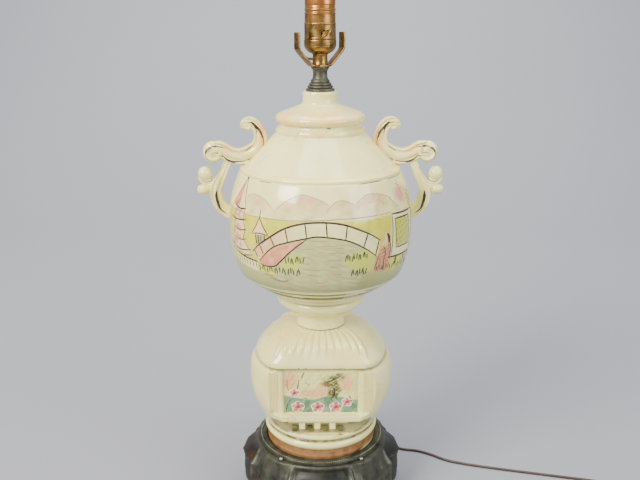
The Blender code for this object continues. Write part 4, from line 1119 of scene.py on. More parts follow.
def drum_paint(points):
    """Thin washes: hills and sky, a meadow, water under a bridge, a pagoda, a gate and a robed walker."""
    x, y, z = points.T
    u = np.arctan2(x, -y) * DRUM_R
    flat = np.stack([u, z], axis=1)
    colours = np.tile(np.array(bpy.context.scene.urn_lamp_colours.glaze), (len(points), 1))
    colours = wash(colours, drift(flat, 52.0, 51), "#F0EED6", 0.8)
    colours = wash(colours, drift(flat, 34.0, 52) ** 2, "#E3DDB8", 0.5)
    for line in HILLS:
        ends = [(line[-1][0], 387), (line[0][0], 387)]
        hill = area(u, z, [*line, *ends], 2.5)
        tint = np.clip((z - 389.0) / 20.0, 0.15, 1.0) * (0.55 + 0.45 * drift(flat, 12.0, 53))
        colours = wash(colours, hill * tint, "#CF9F95", 0.85)
        colours = wash(colours, hill * drift(flat, 16.0, 54) ** 2, "#B9AE9C", 0.5)
    meadow = np.clip((386.6 - z) / 1.6, 0, 1) * (np.abs(u) < 160)
    colours = wash(colours, meadow, "#CFCB76", 0.95)
    colours = wash(colours, meadow * drift(flat, 20.0, 55) ** 2, "#B7B65A", 0.8)
    colours = wash(colours, meadow * (drift(flat, 40.0, 56) ** 2) * (z < 350), "#C6C48F", 0.8)
    shore = np.clip((326.0 + 3.5 * np.sin(u / 24.0) - z) / 6.0, 0, 1)
    colours = wash(colours, shore, "#A7A88C", 0.95)
    under = area(u, z, [*BRIDGE_LOW, (66, 330), (50, 322), (40, 300), (-60, 300), (-52, 322), (-60, 330)],
                 2.0)
    colours = wash(colours, under, "#ABAF97", 0.95)
    colours = wash(colours, under * drift(flat * (0.35, 1.0), 6.0, 57) ** 2, "#C9C8AE", 0.8)
    colours = wash(colours, under * np.clip(drift(flat * (0.4, 1.0), 9.0, 58) * 2 - 1, 0, 1), "#B79C90", 0.3)
    # Painted shade: the drum darker towards its bottom, where it turns under.
    colours = wash(colours, np.clip((316.0 - z) / 10.0, 0, 1), "#8E917A", 0.6)
    for outline in ([(-50, 330), (-44, 338), (-30, 350), (-20, 349), (-18, 338), (-26, 330)],
                    [(26, 340), (40, 352), (52, 352), (66, 342), (62, 328), (40, 326)]):
        colours = wash(colours, area(u, z, outline, 5.0), "#C3C779", 0.85)
    bridge = area(u, z, [*BRIDGE_TOP, *reversed(BRIDGE_LOW)])
    colours = wash(colours, bridge, "#E9E5CD", 1.0)
    colours = wash(colours, bridge * np.clip((-18.0 - u) / 40.0, 0, 1), "#DDAFA6", 0.85)
    colours = wash(colours, bridge * drift(flat, 16.0, 59) ** 2, "#D6D6AE", 0.6)
    bank = area(u, z, [(-75, 334), (-64, 346), (-47, 356), (-15, 367), (-31, 354), (-44, 341), (-53, 333),
                       (-66, 331)])
    colours = wash(colours, bank, "#CE8F8B", 0.95)
    colours = wash(colours, bank * drift(flat, 12.0, 60) ** 2, "#E0B6A8", 0.8)
    tower = area(u, z, [(-118, 392), (-98, 392), (-100, 379), (-96, 368), (-100, 357), (-85, 340),
                        (-128, 341),
                        (-122, 366)])
    colours = wash(colours, tower, "#E9DCC8", 1.0)
    colours = wash(colours, tower * (u < -104) * np.clip(drift(flat, 9.0, 65) * 2.2 - 0.5, 0, 1), "#D59A9C",
                   0.9)
    colours = wash(colours, area(u, z, [(-108, 424), (-129, 391), (-112, 390)]), "#D7A09E", 0.9)
    colours = wash(colours, area(u, z, [(-109, 402), (-129, 391), (-119, 390)]), "#B7646A", 0.7)
    colours = wash(colours, area(u, z, [(-108, 424), (-112, 390), (-98, 391)]), "#EEE3CC", 0.8)
    hut = area(u, z, [(-73, 385), (-84, 366), (-60, 367)])
    colours = wash(colours, hut, "#E8D3BF", 1.0)
    colours = wash(colours, area(u, z, [(-78, 366), (-64, 367), (-65, 357), (-76, 355)]), "#A5A79A", 0.9)
    colours = wash(colours, area(u, z, [(-120, 338), (-77, 334), (-79, 322), (-116, 325)]), "#EDE8CF", 0.9)
    gate = area(u, z, [(89, 386), (140, 383), (138, 334), (86, 337)])
    colours = wash(colours, gate, "#EDEAD6", 1.0)
    lattice = area(u, z, [(95, 380), (129, 378), (131, 344), (97, 346)])
    colours = wash(colours, lattice, "#C9CB77", 1.0)
    colours = wash(colours, lattice * np.clip(drift(flat, 3.6, 61) * 3 - 1.6, 0, 1), "#6C7140", 0.8)
    blossom = spot(u, z, (118, 404), 17.0, 9.0, 0.6) * np.clip(0.4 + drift(flat, 6.0, 62), 0, 1)
    colours = wash(colours, blossom, "#CE97A2", 0.9)
    leaves = spot(u, z, (139, 396), 10.0, 10.0, 0.8) * np.clip(drift(flat, 4.0, 63) * 2.2 - 0.6, 0, 1)
    colours = wash(colours, leaves, "#5C6B4A", 0.9)
    robe = area(u, z, [(78, 362), (72, 356), (70, 347), (66, 340), (63, 325), (70, 322), (84, 322), (88, 338),
                       (87, 352),
                       (83, 361)])
    colours = wash(colours, robe, "#CFA096", 0.95)
    colours = wash(colours, robe * np.clip(drift(flat, 5.0, 64) * 2.0 - 0.7, 0, 1), "#8E4C50", 0.75)
    colours = wash(colours, robe * np.clip((z - 350.0) / 4.0, 0, 1) * (u < 82.0), "#EBD3BE", 0.85)
    colours = wash(colours, spot(u, z, (79, 364.5), 2.6, 3.4), "#E9CDB4", 1.0)
    return colours


def urn_stain_and_shade(points):
    """Peach staining on the shoulder, the neck and the lid's rim, over the cream glaze, with painted shade on the
    foot's underside and in its steps.
    """
    z = points[:, 2]
    colours = np.tile(np.array(bpy.context.scene.urn_lamp_colours.glaze), (len(points), 1))
    colours = wash(colours, drift(points, 50.0, 71), "#F1EDD2", 0.7)
    shoulder = np.clip((z - 424.0) / 4.0, 0, 1) * np.clip((446.0 - z) / 12.0, 0, 1)
    colours = wash(colours, shoulder * (0.35 + 0.65 * drift(points, 46.0, 72)), "#EFD2A6", 0.75)
    lid = np.clip((z - 477.0) / 3.0, 0, 1) * np.clip((499.0 - z) / 8.0, 0, 1)
    colours = wash(colours, lid * (0.3 + 0.7 * drift(points, 40.0, 73)), "#EFC79F", 0.8)
    ring = np.clip((z - 461.0) / 2.0, 0, 1) * np.clip((474.0 - z) / 2.0, 0, 1)
    colours = wash(colours, ring * drift(points, 30.0, 74), "#EBD5A8", 0.6)
    # Painted shade on the underside of the foot, which faces down.
    low = np.clip((302.0 - z) / 8.0, 0, 1) * np.clip((z - 270.0) / 6.0, 0, 1)
    colours = wash(colours, low * (0.5 + 0.5 * drift(points, 30.0, 75)), "#CDCDA6", 0.6)
    # Painted shade: dark lines in the steps of the foot.
    for level in (296.4, 286.2, 270.2):
        dark = np.clip(1.8 - np.abs(z - level), 0, 1)
        colours = wash(colours, dark, "#6E6E4C", 0.85)
    cracks = 0.0
    for level in (462.0, 474.6, 476.8):
        broken = np.clip(drift(points, 26.0, int(level)) * 3.0 - 1.7, 0, 1)
        cracks = cracks + np.clip(0.9 - np.abs(z - level), 0, 1) * broken
    return wash(colours, cracks, "#5D4A30", 0.85)


def make_urn():
    glaze = FINISHES["lead_glaze"]
    foot = turned("urn_foot", walled(spline(FOOT_LINE, 1.3), 6.0), glaze, 256, 46.0)
    drum = turned("painted_drum", walled(DRUM_FINE, 6.0, 12), glaze, 600, 46.0)
    crown = walled(spline(SHOULDER_LINE, 1.5)[:-1], 6.0)[:-1] + [(6.0, 505.0), (6.0, 512.9)]
    top = turned("urn_shoulder", crown, glaze, 256, 46.0)
    for obj in (foot, top):
        set_paint(obj, urn_stain_and_shade(points_of(obj)))
    points = points_of(drum)
    points[points[:, 1] > 0.0, :2] *= -1.0
    set_paint(drum, drum_paint(points))
    finish_piece(drum, "lamp", "cream_glaze", "urn_body")
    finish_piece(foot, "lamp", "cream_glaze")
    finish_piece(top, "lamp", "cream_glaze")


def drum_brush(store, line, width, step=2.0):
    path = [on_drum(u, z) for u, z in spline(line, step)]
    store.append(([p for p, _ in path], [n for _, n in path], tapered(len(path), width, 0.55)))


def make_drum_lines():
    """The painter's line work over the washes: outlines, fence posts, ripples and grass."""
    dark, soft, grass = [], [], []
    for width, line in DARK_LINES:
        drum_brush(dark, line, 1.9 * width)
    for i in range(7):
        u = -114.0 + 5.6 * i
        drum_brush(dark, [(u, 336.0 - 0.03 * i), (u + 0.6, 326.0)], 2.0)
    for width, line in SOFT_LINES:
        drum_brush(soft, line, 1.7 * width)
    for start, z, length, rise, count in TUFTS:
        for i in range(count):
            t = (i + 0.5) / count
            u, lean = start + length * t, 1.6 * math.sin(2.4 * i + start)
            base = z + rise * t + 1.4 * math.sin(1.7 * i)
            tall = 5.4 + 2.6 * abs(math.sin(3.1 * i + start))
            drum_brush(grass, [(u, base), (u + lean * 0.4, base + tall * 0.6), (u + lean, base + tall)], 2.3,
                       1.5)
    for name, store, finish in (("drum_outlines", dark, "brush_enamel"),
                                ("drum_shading", soft, "mauve_enamel"),
                                ("drum_grass", grass, "green_enamel")):
        finish_piece(both_faces(ink_piece(name, store, FINISHES[finish])), "lamp", "cream_glaze")
    cracks = []
    for width, (u0, u1), r, z in ((1.3, (48, 88), 94.9, 421.9), (1.0, (-86, -62), 94.9, 421.9),
                                  (0.9, (96, 140), 94.9, 421.9)):
        line = []
        for u in np.arange(u0, u1, 2.0):
            a = u / DRUM_R
            line.append((r * math.sin(a), -r * math.cos(a), z))
        normals = [(p[0] / r, p[1] / r, 0.0) for p in line]
        cracks.append((line, normals, tapered(len(line), width)))
    for width, (a0, a1), r, z in ((1.2, (36, 62), 50.3, 462.3), (1.0, (-58, -44), 50.3, 462.3),
                                  (0.9, (8, 16), 48.0, 476.2)):
        angles = np.radians(np.arange(a0, a1, 2.0))
        line = [(r * math.sin(a), -r * math.cos(a), z) for a in angles]
        normals = [(math.sin(a), -math.cos(a), 0.0) for a in angles]
        cracks.append((line, normals, tapered(len(line), width)))
    finish_piece(ink_piece("glaze_cracks", cracks, FINISHES["brush_enamel"]), "lamp", "cream_glaze")


# ---------------------------------------------------------------- handles

# Scroll centrelines of the right handle: distance from the axis, height, and width of the band.
UPPER_SCROLL = [(88.5, 470.5, 5.0), (89.5, 476.0, 7.0), (84.0, 479.0, 9.5), (77.6, 476.5, 12.0),
                (72.0, 469.5, 13.0),
                (69.6, 458.5, 16.0), (73.2, 447.4, 20.0), (84.0, 439.9, 20.5), (97.0, 437.8, 18.0),
                (108.0, 441.2, 17.5),
                (117.0, 446.4, 18.0), (124.0, 447.0, 17.0)]
LOWER_SCROLL = [(106.5, 436.5, 8.0), (109.8, 429.0, 9.0), (114.4, 419.0, 10.0), (119.8, 409.0, 12.0),
                (123.6, 398.5, 13.6), (123.0, 388.0, 14.8), (119.0, 378.5, 14.0), (112.0, 371.5, 13.0),
                (104.0, 366.5, 12.0)]
CURL_TAIL = [(116.5, 417.5, 5.0), (123.0, 410.5, 6.0), (131.0, 406.6, 6.0), (138.5, 407.6, 5.0),
             (143.2, 413.5, 5.0)]
INK_ON_HANDLE = (
    (2.0, [(83.3, 477.6), (78.7, 477.6), (75.0, 473.8), (70.5, 469.1), (66.8, 461.4), (65.8, 454.4),
           (67.1, 448.1),
           (70.0, 441.9)]),
    (1.2, [(77.2, 475.7), (74.3, 469.9), (73.7, 463.7)]),
    (1.3, [(78.7, 451.3), (83.5, 447.4), (88.4, 444.4)]),
    (2.1, [(118.8, 439.6), (113.4, 438.0), (108.8, 434.9), (102.7, 432.5), (94.9, 432.1), (86.4, 433.4)]),
    (2.8, [(85.4, 433.8), (81.5, 435.2), (76.7, 437.9)]),
    (1.8, [(112.2, 447.9), (116.1, 449.4), (122.3, 450.0), (128.5, 448.7), (132.6, 445.2), (134.3, 441.2),
           (133.0, 435.7), (128.5, 432.2)]),
    (0.9, [(127.3, 440.8), (122.6, 442.8), (118.7, 441.2)]),
    (2.2, [(122.5, 398.2), (123.2, 390.9), (121.6, 381.9), (119.1, 374.5), (112.5, 369.4)]),
    (1.0, [(139.7, 409.5), (135.1, 407.5), (128.7, 409.1), (122.9, 415.0), (119.6, 419.8), (115.5, 425.4)]),
)


def scroll_part(line, half_thick, side):
    """A channelled band along a scroll: rims, a groove inside each rim, and a rounded middle, on both faces."""
    section = [(1.0, 0.25), (0.97, 0.72), (0.84, 1.0), (0.66, 0.8), (0.5, 0.62), (0.3, 0.84), (0.0, 0.96)]
    upper = section + [(-a, b) for a, b in reversed(section[:-1])]
    whole = upper + [(a, -b) for a, b in reversed(upper)]
    path = spline(line, 1.6)
    points = []
    for i, (r, z, width) in enumerate(path):
        along = Vector(path[min(i + 1, len(path) - 1)][:2] - path[max(i - 1, 0)][:2]).normalized()
        across = Vector((-along.y, along.x))
        shrink = min(1.0, 0.55 + 0.15 * min(i, len(path) - 1 - i))
        for a, b in whole:
            off = across * (a * width / 2)
            points.append((side * (r + off.x), b * half_thick * shrink, z + off.y))
    count = len(whole)
    faces = grid_faces(len(path), count)
    faces += [tuple(reversed(range(count))), tuple(range((len(path) - 1) * count, len(path) * count))]
    return outward(mesh_object("scroll", points, faces, None))


def boss_part(r, z, half_x, half_z, half_thick, side):
    bm = bmesh.new()
    bmesh.ops.create_uvsphere(bm, u_segments=28, v_segments=18, radius=1.0)
    bmesh.ops.scale(bm, vec=Vector((half_x, half_thick, half_z)) * MM, verts=bm.verts)
    bmesh.ops.translate(bm, vec=Vector((side * r, 0.0, z)) * MM, verts=bm.verts)
    mesh = bpy.data.meshes.new("boss")
    bm.to_mesh(mesh)
    bm.free()
    obj = bpy.data.objects.new("boss", mesh)
    bpy.context.scene.collection.objects.link(obj)
    return obj


def spiral_part(r, z, start_r, end_r, start, turns, y, side, thick):
    path, radii = [], []
    for t in np.linspace(0.0, 1.0, 40):
        a = start + math.tau * turns * t
        reach = start_r + (end_r - start_r) * t
        path.append((side * (r + reach * math.cos(a)), y, z + reach * math.sin(a)))
        radii.append(thick * (1.0 - 0.45 * t))
    return tube("spiral", path, radii, None, 8)


def handle_stain_and_shade(points):
    r, z = np.abs(points[:, 0]), points[:, 2]
    colours = np.tile(np.array(srgb("#EFEBD0")), (len(points), 1))
    colours = wash(colours, drift(points, 22.0, 81) ** 2, "#E2D9AC", 0.7)
    outer = np.clip((76.0 - r) / 8.0, 0, 1) * (z > 440) + spot(r, z, (106.0, 452.0), 10.0, 7.0, 0.8)
    colours = wash(colours, outer * (0.5 + 0.5 * drift(points, 14.0, 82)), "#F0BF94", 0.85)
    # Painted shade in the channel of the lower scroll.
    shaded = spot(r, z, (118.5, 392.0), 5.0, 24.0, 0.8) * (0.4 + 0.6 * drift(points, 12.0, 83))
    return wash(colours, shaded, "#B9B173", 0.6)


def make_handle(side, name):
    parts = [scroll_part(UPPER_SCROLL, 7.6, side), scroll_part(LOWER_SCROLL, 6.6, side),
             scroll_part(CURL_TAIL, 5.0, side)]
    parts += [boss_part(126.0, 442.6, 12.0, 12.8, 6.6, side), boss_part(84.6, 474.0, 5.6, 6.2, 6.0, side),
              boss_part(136.4, 416.8, 8.4, 8.8, 8.0, side), boss_part(138.4, 398.0, 8.4, 6.4, 6.6, side),
              boss_part(130.5, 401.5, 5.5, 4.5, 5.0, side), boss_part(103.0, 367.0, 7.5, 6.5, 7.5, side)]
    for face in (-1, 1):
        parts.append(spiral_part(126.0, 442.4, 10.6, 2.4, 2.4, 1.35, face * 6.0, side, 2.0))
        parts.append(spiral_part(84.8, 474.0, 6.0, 1.8, 0.6, 1.1, face * 6.2, side, 1.5))
    handle = fused(f"scroll_handle_{name}", parts, 0.75, 2, FINISHES["lead_glaze"])
    set_paint(handle, handle_stain_and_shade(points_of(handle)))
    finish_piece(handle, "lamp", "cream_glaze", f"handle_{name}")
    tree = BVHTree.FromPolygons([v.co / MM for v in handle.data.vertices],
                                [p.vertices for p in handle.data.polygons])
    strips = []
    for face in (-1, 1):
        for width, line in INK_ON_HANDLE:
            path, normals = [], []
            for r, z in spline(line, 1.2):
                hit, normal, _, _ = tree.ray_cast(Vector((side * r, face * 30.0, z)),
                                                  Vector((0.0, -face, 0.0)))
                if hit is not None:
                    path.append(tuple(hit))
                    normals.append(tuple(normal))
            if len(path) > 2:
                strips.append((path, normals, tapered(len(path), 1.5 * width, 0.3)))
    finish_piece(ink_piece(f"handle_ink_{name}", strips, FINISHES["brush_enamel"]), "lamp", "cream_glaze")


# ---------------------------------------------------------------- neck, saddle and socket


def make_neck():
    low = NECK_TOP_Z
    outer = spline([(PIPE_HOLE_R, low), (16.3, low), (16.3, low), (16.6, low + 1.0), (16.2, low + 2.2),
                    (14.0, low + 3.0),
                    (14.0, low + 3.0), (14.7, low + 4.4), (14.2, low + 5.6), (12.5, low + 6.2),
                    (12.5, low + 6.2),
                    (13.0, low + 7.4), (12.4, low + 8.6), (10.6, low + 9.4), (10.6, low + 9.4),
                    (11.0, low + 10.6),
                    (10.4, low + 12.0), (9.0, low + 13.6), (8.4, low + 16.0), (8.2, low + 20.0),
                    (8.7, low + 22.8),
                    (9.8, low + 24.4), (10.4, SPINDLE_TOP_Z - 0.9), (10.2, SPINDLE_TOP_Z),
                    (10.2, SPINDLE_TOP_Z),
                    (PIPE_HOLE_R, SPINDLE_TOP_Z)], 0.6)
    neck = turned("neck_turning", outer, FINISHES["bronze_patina"], 96)
    points = points_of(neck)
    tone = 1.35 + 0.5 * drift(points, 9.0, 91)
    set_paint(neck, wash(np.ones((len(points), 3)) * tone[:, None], drift(points, 14.0, 92), "#FFDFA6", 0.3))
    finish_piece(neck, "lamp", "dark_bronze", "neck_spindle")


def make_saddle():
    """A bent brass strip: an eye under the socket, two slanting arms, and upright tips with a small hole each."""
    base, half, thick = 539.9, 31.5, 2.0
    line = spline([(-half, base + 38.0), (-half, base + 22.0), (-half + 0.4, base + 19.6),
                   (-27.6, base + 15.0),
                   (-15.0, base + 2.6), (-12.0, base + 0.6), (-9.0, base), (-9.0, base), (9.0, base),
                   (9.0, base),
                   (12.0, base + 0.6), (15.0, base + 2.6), (27.6, base + 15.0), (half - 0.4, base + 19.6),
                   (half, base + 22.0), (half, base + 38.0)], 1.0)
    points = []
    for i, (x, z) in enumerate(line):
        along = Vector(line[min(i + 1, len(line) - 1)] - line[max(i - 1, 0)]).normalized()
        up = Vector((-along.y, along.x)) * thick
        wide = 5.0 + 4.0 * math.exp(-((x / 9.5) ** 6))
        wide *= 1.0 - 0.14 * max(0.0, (z - (base + 36.6)) / 1.4)
        points += [(x, -wide, z), (x, wide, z), (x + up.x, wide, z + up.y), (x + up.x, -wide, z + up.y)]
    count = len(line)
    faces = grid_faces(count, 4) + [(3, 2, 1, 0), tuple(range(4 * count - 4, 4 * count))]
    strip = outward(mesh_object("saddle_strip", points, faces, FINISHES["aged_brass"], 35.0))
    eye = mesh_object("eye", *tube_parts([(0, 0, base - 5.0), (0, 0, base + 8.0)], [PIPE_HOLE_R] * 2, 40),
                      None)
    cut(strip, outward(eye))
    for side in (-1, 1):
        hole = mesh_object("hole", *tube_parts(
            [(side * (half + 6.0), 0, base + 30.0), (side * (half - 8.0), 0, base + 30.0)], [0.9] * 2, 16),
            None)
        cut(strip, outward(hole))
    edge = strip.modifiers.new("Edges", "BEVEL")
    edge.width = 0.35 * MM
    edge.segments = 2
    edge.limit_method = "ANGLE"
    baked(strip)
    strip.data.transform(Matrix.Rotation(math.radians(34.0), 4, "Z"))
    strip.data.shade_smooth()
    strip.data.set_sharp_from_angle(angle=math.radians(50.0))
    finish_piece(strip, "lamp", "antique_brass", "harp_saddle")


def make_socket_body():
    brass, foot = FINISHES["aged_brass"], CAP_FOOT_Z
    cap = spline([(5.3, foot), (9.4, foot), (9.4, foot), (9.5, foot + 0.7), (8.8, foot + 2.2),
                  (8.5, foot + 5.0),
                  (8.5, foot + 10.4), (9.3, foot + 12.0), (12.2, foot + 13.4), (15.2, foot + 15.6),
                  (17.2, foot + 18.4),
                  (17.8, foot + 19.8), (17.8, foot + 19.8), (17.7, foot + 20.4), (18.2, foot + 20.9),
                  (18.3, foot + 22.0),
                  (18.3, foot + 26.8), (18.1, foot + 27.4), (18.1, foot + 27.4), (17.7, foot + 27.4),
                  (17.7, foot + 27.4),
                  (17.7, foot + 21.0), (15.6, foot + 17.2), (12.0, foot + 14.4), (7.9, foot + 12.6),
                  (7.9, foot + 12.6),
                  (7.9, foot + 2.0), (5.3, foot + 2.0), (5.3, foot + 2.0), (5.3, foot + 0.2)], 0.6)
    finish_piece(turned("spun_cap", cap, brass, 120, 50.0), "lamp", "antique_brass", "socket_cap")
    outer = spline([(17.3, foot + 21.2), (17.3, foot + 27.2), (17.9, foot + 27.9), (17.9, foot + 27.9),
                    (18.0, 571.6),
                    (17.8, 572.2), (17.8, 572.2), (17.8, 585.6), (17.8, 585.6), (18.0, 586.4), (18.0, 587.4),
                    (17.4, 588.0), (17.4, 588.0), (17.3, 597.0), (17.3, 597.0), (17.75, 597.8), (17.3, 598.8),
                    (17.3, 598.8), (16.8, 599.8), (17.2, 600.8), (17.2, 600.8), (17.7, 602.0), (17.2, 603.0),
                    (17.2, 603.0), (16.8, 603.9), (17.2, 604.9), (17.2, 604.9), (16.8, 606.1), (17.2, 607.2),
                    (17.2, 607.2), (17.2, 615.4), (17.5, 616.4), (17.3, 617.0), (16.9, 616.6)], 0.5)
    shell = [tuple(p) for p in outer] + [(16.6, 615.0), (16.5, 588.0), (17.1, 585.0), (17.1, 570.0),
                                         (16.6, 564.0)]
    body = turned("rolled_shell", shell, brass, 120, 50.0)
    out = Vector((math.sin(math.radians(14.0)), -math.cos(math.radians(14.0)), 0.0))
    start, end = out * 12.0, out * 24.0
    hole = mesh_object("hole", *tube_parts(
        [(start.x, start.y, SWITCH_Z), (end.x, end.y, SWITCH_Z)], [3.2, 3.2], 28), None)
    cut(body, outward(hole))
    finish_piece(body, "lamp", "antique_brass", "socket_shell")


def make_set_screw():
    """The slotted screw that holds the cap on the pipe."""
    z, lean = CAP_FOOT_Z + 6.4, math.radians(4.0)
    out = Vector((-math.cos(lean), math.sin(lean), 0.0))
    line = [(5.5, 1.5), (14.2, 1.5), (14.2, 2.7), (16.8, 2.9), (18.0, 2.3), (18.3, 1.4)]
    path = [tuple(out * d + Vector((0, 0, z))) for d, _ in line]
    screw = tube("cap_screw", path, [r for _, r in line], FINISHES["zinc_plate"], 28)
    slot = block("slot", (-20.0, -3.5, z - 0.35), (-17.4, 3.5, z + 0.35))
    cut(screw, slot)
    finish_piece(screw, "lamp", "zinc_steel", "cap_set_screw")


def make_socket_inside():
    """What shows down the socket's mouth: the rolled screw shell, the moulded block and the centre contact."""
    low, high, pitch = INSULATOR_TOP_Z + 0.3, INSULATOR_TOP_Z + 26.3, 3.63
    count, rows = 72, 110
    turn = np.linspace(0.0, math.tau, count, endpoint=False)
    points = []
    for z in np.linspace(high, low + 0.7, rows):
        fade = min(1.0, (high - z) / 1.5)
        r = 13.75 + 0.45 * fade * np.cos(math.tau * (z - low) / pitch - turn)
        points.append(np.stack([r * np.cos(turn), r * np.sin(turn), np.full(count, z)], axis=1))
    for r, z in ((6.0, low + 0.7), (6.0, low)):
        points.append(np.stack([r * np.cos(turn), r * np.sin(turn), np.full(count, z)], axis=1))
    for z in np.linspace(low, high, 60):
        fade = min(1.0, (high - z) / 1.5)
        r = 14.25 + 0.45 * fade * np.cos(math.tau * (z - low) / pitch - turn)
        points.append(np.stack([r * np.cos(turn), r * np.sin(turn), np.full(count, z)], axis=1))
    points = np.concatenate(points)
    shell = outward(mesh_object("screw_thread", points, grid_faces(len(points) // count, count, ring=True),
                                FINISHES["rolled_aluminium"]))
    finish_piece(shell, "lamp", "aluminium", "screw_shell")
    contact = turned("contact_tongue", spline([(0.05, INSULATOR_TOP_Z - 5.6), (2.2, INSULATOR_TOP_Z - 5.6),
                                               (2.2, INSULATOR_TOP_Z - 5.6), (2.2, low + 1.7),
                                               (3.8, low + 2.2),
                                               (4.4, low + 2.8), (4.2, low + 3.5), (3.0, low + 4.0),
                                               (0.05, low + 4.0)],
                                              0.5), FINISHES["aged_brass"], 32)
    finish_piece(contact, "contact", "antique_brass", "centre_contact")


def make_switch_key():
    """A flat thumb key on a round stem, slanted on its axis and dished a little on each face."""
    lean = math.radians(14.0)
    out = Vector((math.sin(lean), -math.cos(lean), 0.0))
    facing = out.to_track_quat("Z", "Y").to_matrix().to_4x4()
    place = Matrix.Translation(out * 24.0 + Vector((0, 0, SWITCH_Z))) @ facing
    place = place @ Matrix.Rotation(math.radians(40.0), 4, "Z")
    rows, count = [], 40
    for z in np.linspace(-2.0, 11.8, 30):
        half = float(np.interp(z, (-2.0, 0.5, 3.0, 5.5, 8.0, 10.0, 11.2, 11.8),
                               (2.6, 2.8, 5.6, 7.3, 7.6, 6.2, 4.2, 2.2)))
        thick = float(np.interp(z, (-2.0, 1.5, 3.5, 11.0, 11.8), (2.5, 2.3, 1.45, 1.4, 0.9)))
        for a in np.linspace(0.0, math.tau, count, endpoint=False):
            wide = math.cos(a)
            flat = math.copysign(abs(math.sin(a)) ** 0.55, math.sin(a))
            dish = 1.0 - 0.35 * math.exp(-((wide / 0.5) ** 2)) * max(0.0, min(1.0, (z - 3.5) / 2.0))
            rows.append((half * wide, thick * flat * dish, z))
    faces = grid_faces(30, count)
    faces += [tuple(reversed(range(count))), tuple(range(29 * count, 30 * count))]
    key = outward(mesh_object("thumb_key", rows, faces, FINISHES["aged_brass"]))
    stem = outward(mesh_object("key_stem", *tube_parts(
        [(0, 0, -16.0), (0, 0, -2.5), (0, 0, -2.3), (0, 0, 1.0)], [2.4, 2.4, 1.5, 1.5], 28),
        FINISHES["zinc_plate"]))
    scaled = Matrix.Scale(MM, 4) @ place @ Matrix.Scale(1.0 / MM, 4)
    for obj, slot, node in ((key, "antique_brass", "switch_key"), (stem, "zinc_steel", "switch_stem")):
        obj.data.transform(scaled)
        finish_piece(obj, "switch", slot, node)


# ---------------------------------------------------------------- cord

CORD_ROUTE = [
    (0.0, 106.5, 36.0), (0.6, 112.0, 35.4), (14.0, 123.0, 20.0), (38.0, 124.0, 4.5), (70.0, 106.0, 1.7),
    (97.0, 82.0, 1.7), (117.0, 70.5, 1.7), (136.0, 66.5, 1.7), (155.0, 56.5, 1.7), (175.0, 42.0, 1.7),
    (203.0, 31.5, 1.7), (240.0, 21.5, 1.7), (280.0, 12.0, 1.7), (322.0, 2.0, 1.7), (364.0, -8.0, 1.7),
    (402.0, -22.0, 1.7), (425.0, -42.0, 2.0), (433.5, -66.0, 2.8),
]
COIL_CENTRE = (392.0, -92.0)
TAIL_ROUTE = [(402.0, -138.8, 4.6), (388.0, -141.6, 4.2), (372.0, -142.6, 4.6), (356.0, -142.2, 5.8),
              (346.0, -143.2, 6.6),
              (340.0, -146.2, 6.6), (336.0, -149.2, 6.6)]


def coil_route():
    """Just over five turns, clockwise from above: three side by side in each of two layers."""
    points = []
    start, turns, per_turn = 20.0, 5.2, 16
    for i in range(int(turns * per_turn) + 1):
        done = i / per_turn
        a = math.radians(start) - math.tau * done
        lane = done if done < 3 else done - 3
        if done < 3:
            reach, z = 41.0 - 3.5 * min(lane, 2.0), 3.1
            reach += max(0.0, lane - 2.0) * 1.8
            z += 3.5 * max(0.0, min(1.0, (lane - 2.4) / 0.6))
        else:
            reach, z = 35.8 + 3.2 * min(lane / 1.6, 1.0), 6.6
        if done > 4.7:
            reach += 7.0 * (done - 4.7)
            z = 6.6 - 3.0 * (done - 4.7)
        points.append((COIL_CENTRE[0] + reach * math.cos(a), COIL_CENTRE[1] + reach * math.sin(a), z))
    return points


def make_cord():
    """Dark brown flex: out of the back of the base, loosely across the table, a tied coil, and its plug."""
    flex, vinyl = FINISHES["brown_flex"], FINISHES["moulded_vinyl"]
    radius = bpy.context.scene.urn_lamp_sizes.cord_radius / MM
    laid = np.concatenate([spline(CORD_ROUTE, 6.0)[:-1], spline([CORD_ROUTE[-1], *coil_route(), *TAIL_ROUTE],
                                                                5.0)])
    curve = bpy.data.curves.new("mains_cord", "CURVE")
    curve.dimensions = "3D"
    curve.bevel_depth = radius * MM
    curve.bevel_resolution = 4
    curve.use_fill_caps = True
    line = curve.splines.new("POLY")
    line.points.add(len(laid) - 1)
    for target, point in zip(line.points, laid):
        target.co = (point[0] * MM, point[1] * MM, max(point[2], radius) * MM, 1.0)
    curve.materials.append(flex)
    cord = bpy.data.objects.new("mains_cord", curve)
    bpy.context.scene.collection.objects.link(cord)
    finish_piece(cord, "lamp", "brown_flex", "cord_free", "cord_coil", "cord_tail")
    boot_path = [(0.0, 92.2, 36.0), (0.0, 94.0, 36.0), (0.0, 94.2, 36.0), (0.0, 103.6, 36.0),
                 (0.0, 103.8, 36.0),
                 (0.0, 106.2, 36.0), (0.0, 106.6, 36.0), *[tuple(p) for p in spline(CORD_ROUTE, 2.0)[1:11]]]
    boot_radii = [6.5, 6.5, 5.0, 5.0, 7.4, 7.4, 4.2] + [4.0 - 0.16 * i for i in range(10)]
    boot = tube("cord_boot", boot_path, boot_radii, vinyl, 24)
    finish_piece(boot, "lamp", "brown_rubber", "cord_bushing")
    x, y = COIL_CENTRE
    tie = []
    for a in np.linspace(0.0, math.tau, 26):
        tie.append((x + 37.4 + 7.4 * math.cos(a), y, 5.5 + 4.5 * math.sin(a)))
    band = tube("coil_tie", [*tie], [0.9] * len(tie), vinyl, 10)
    finish_piece(band, "lamp", "brown_rubber", "cord_tie")
    plug = make_plug(vinyl)


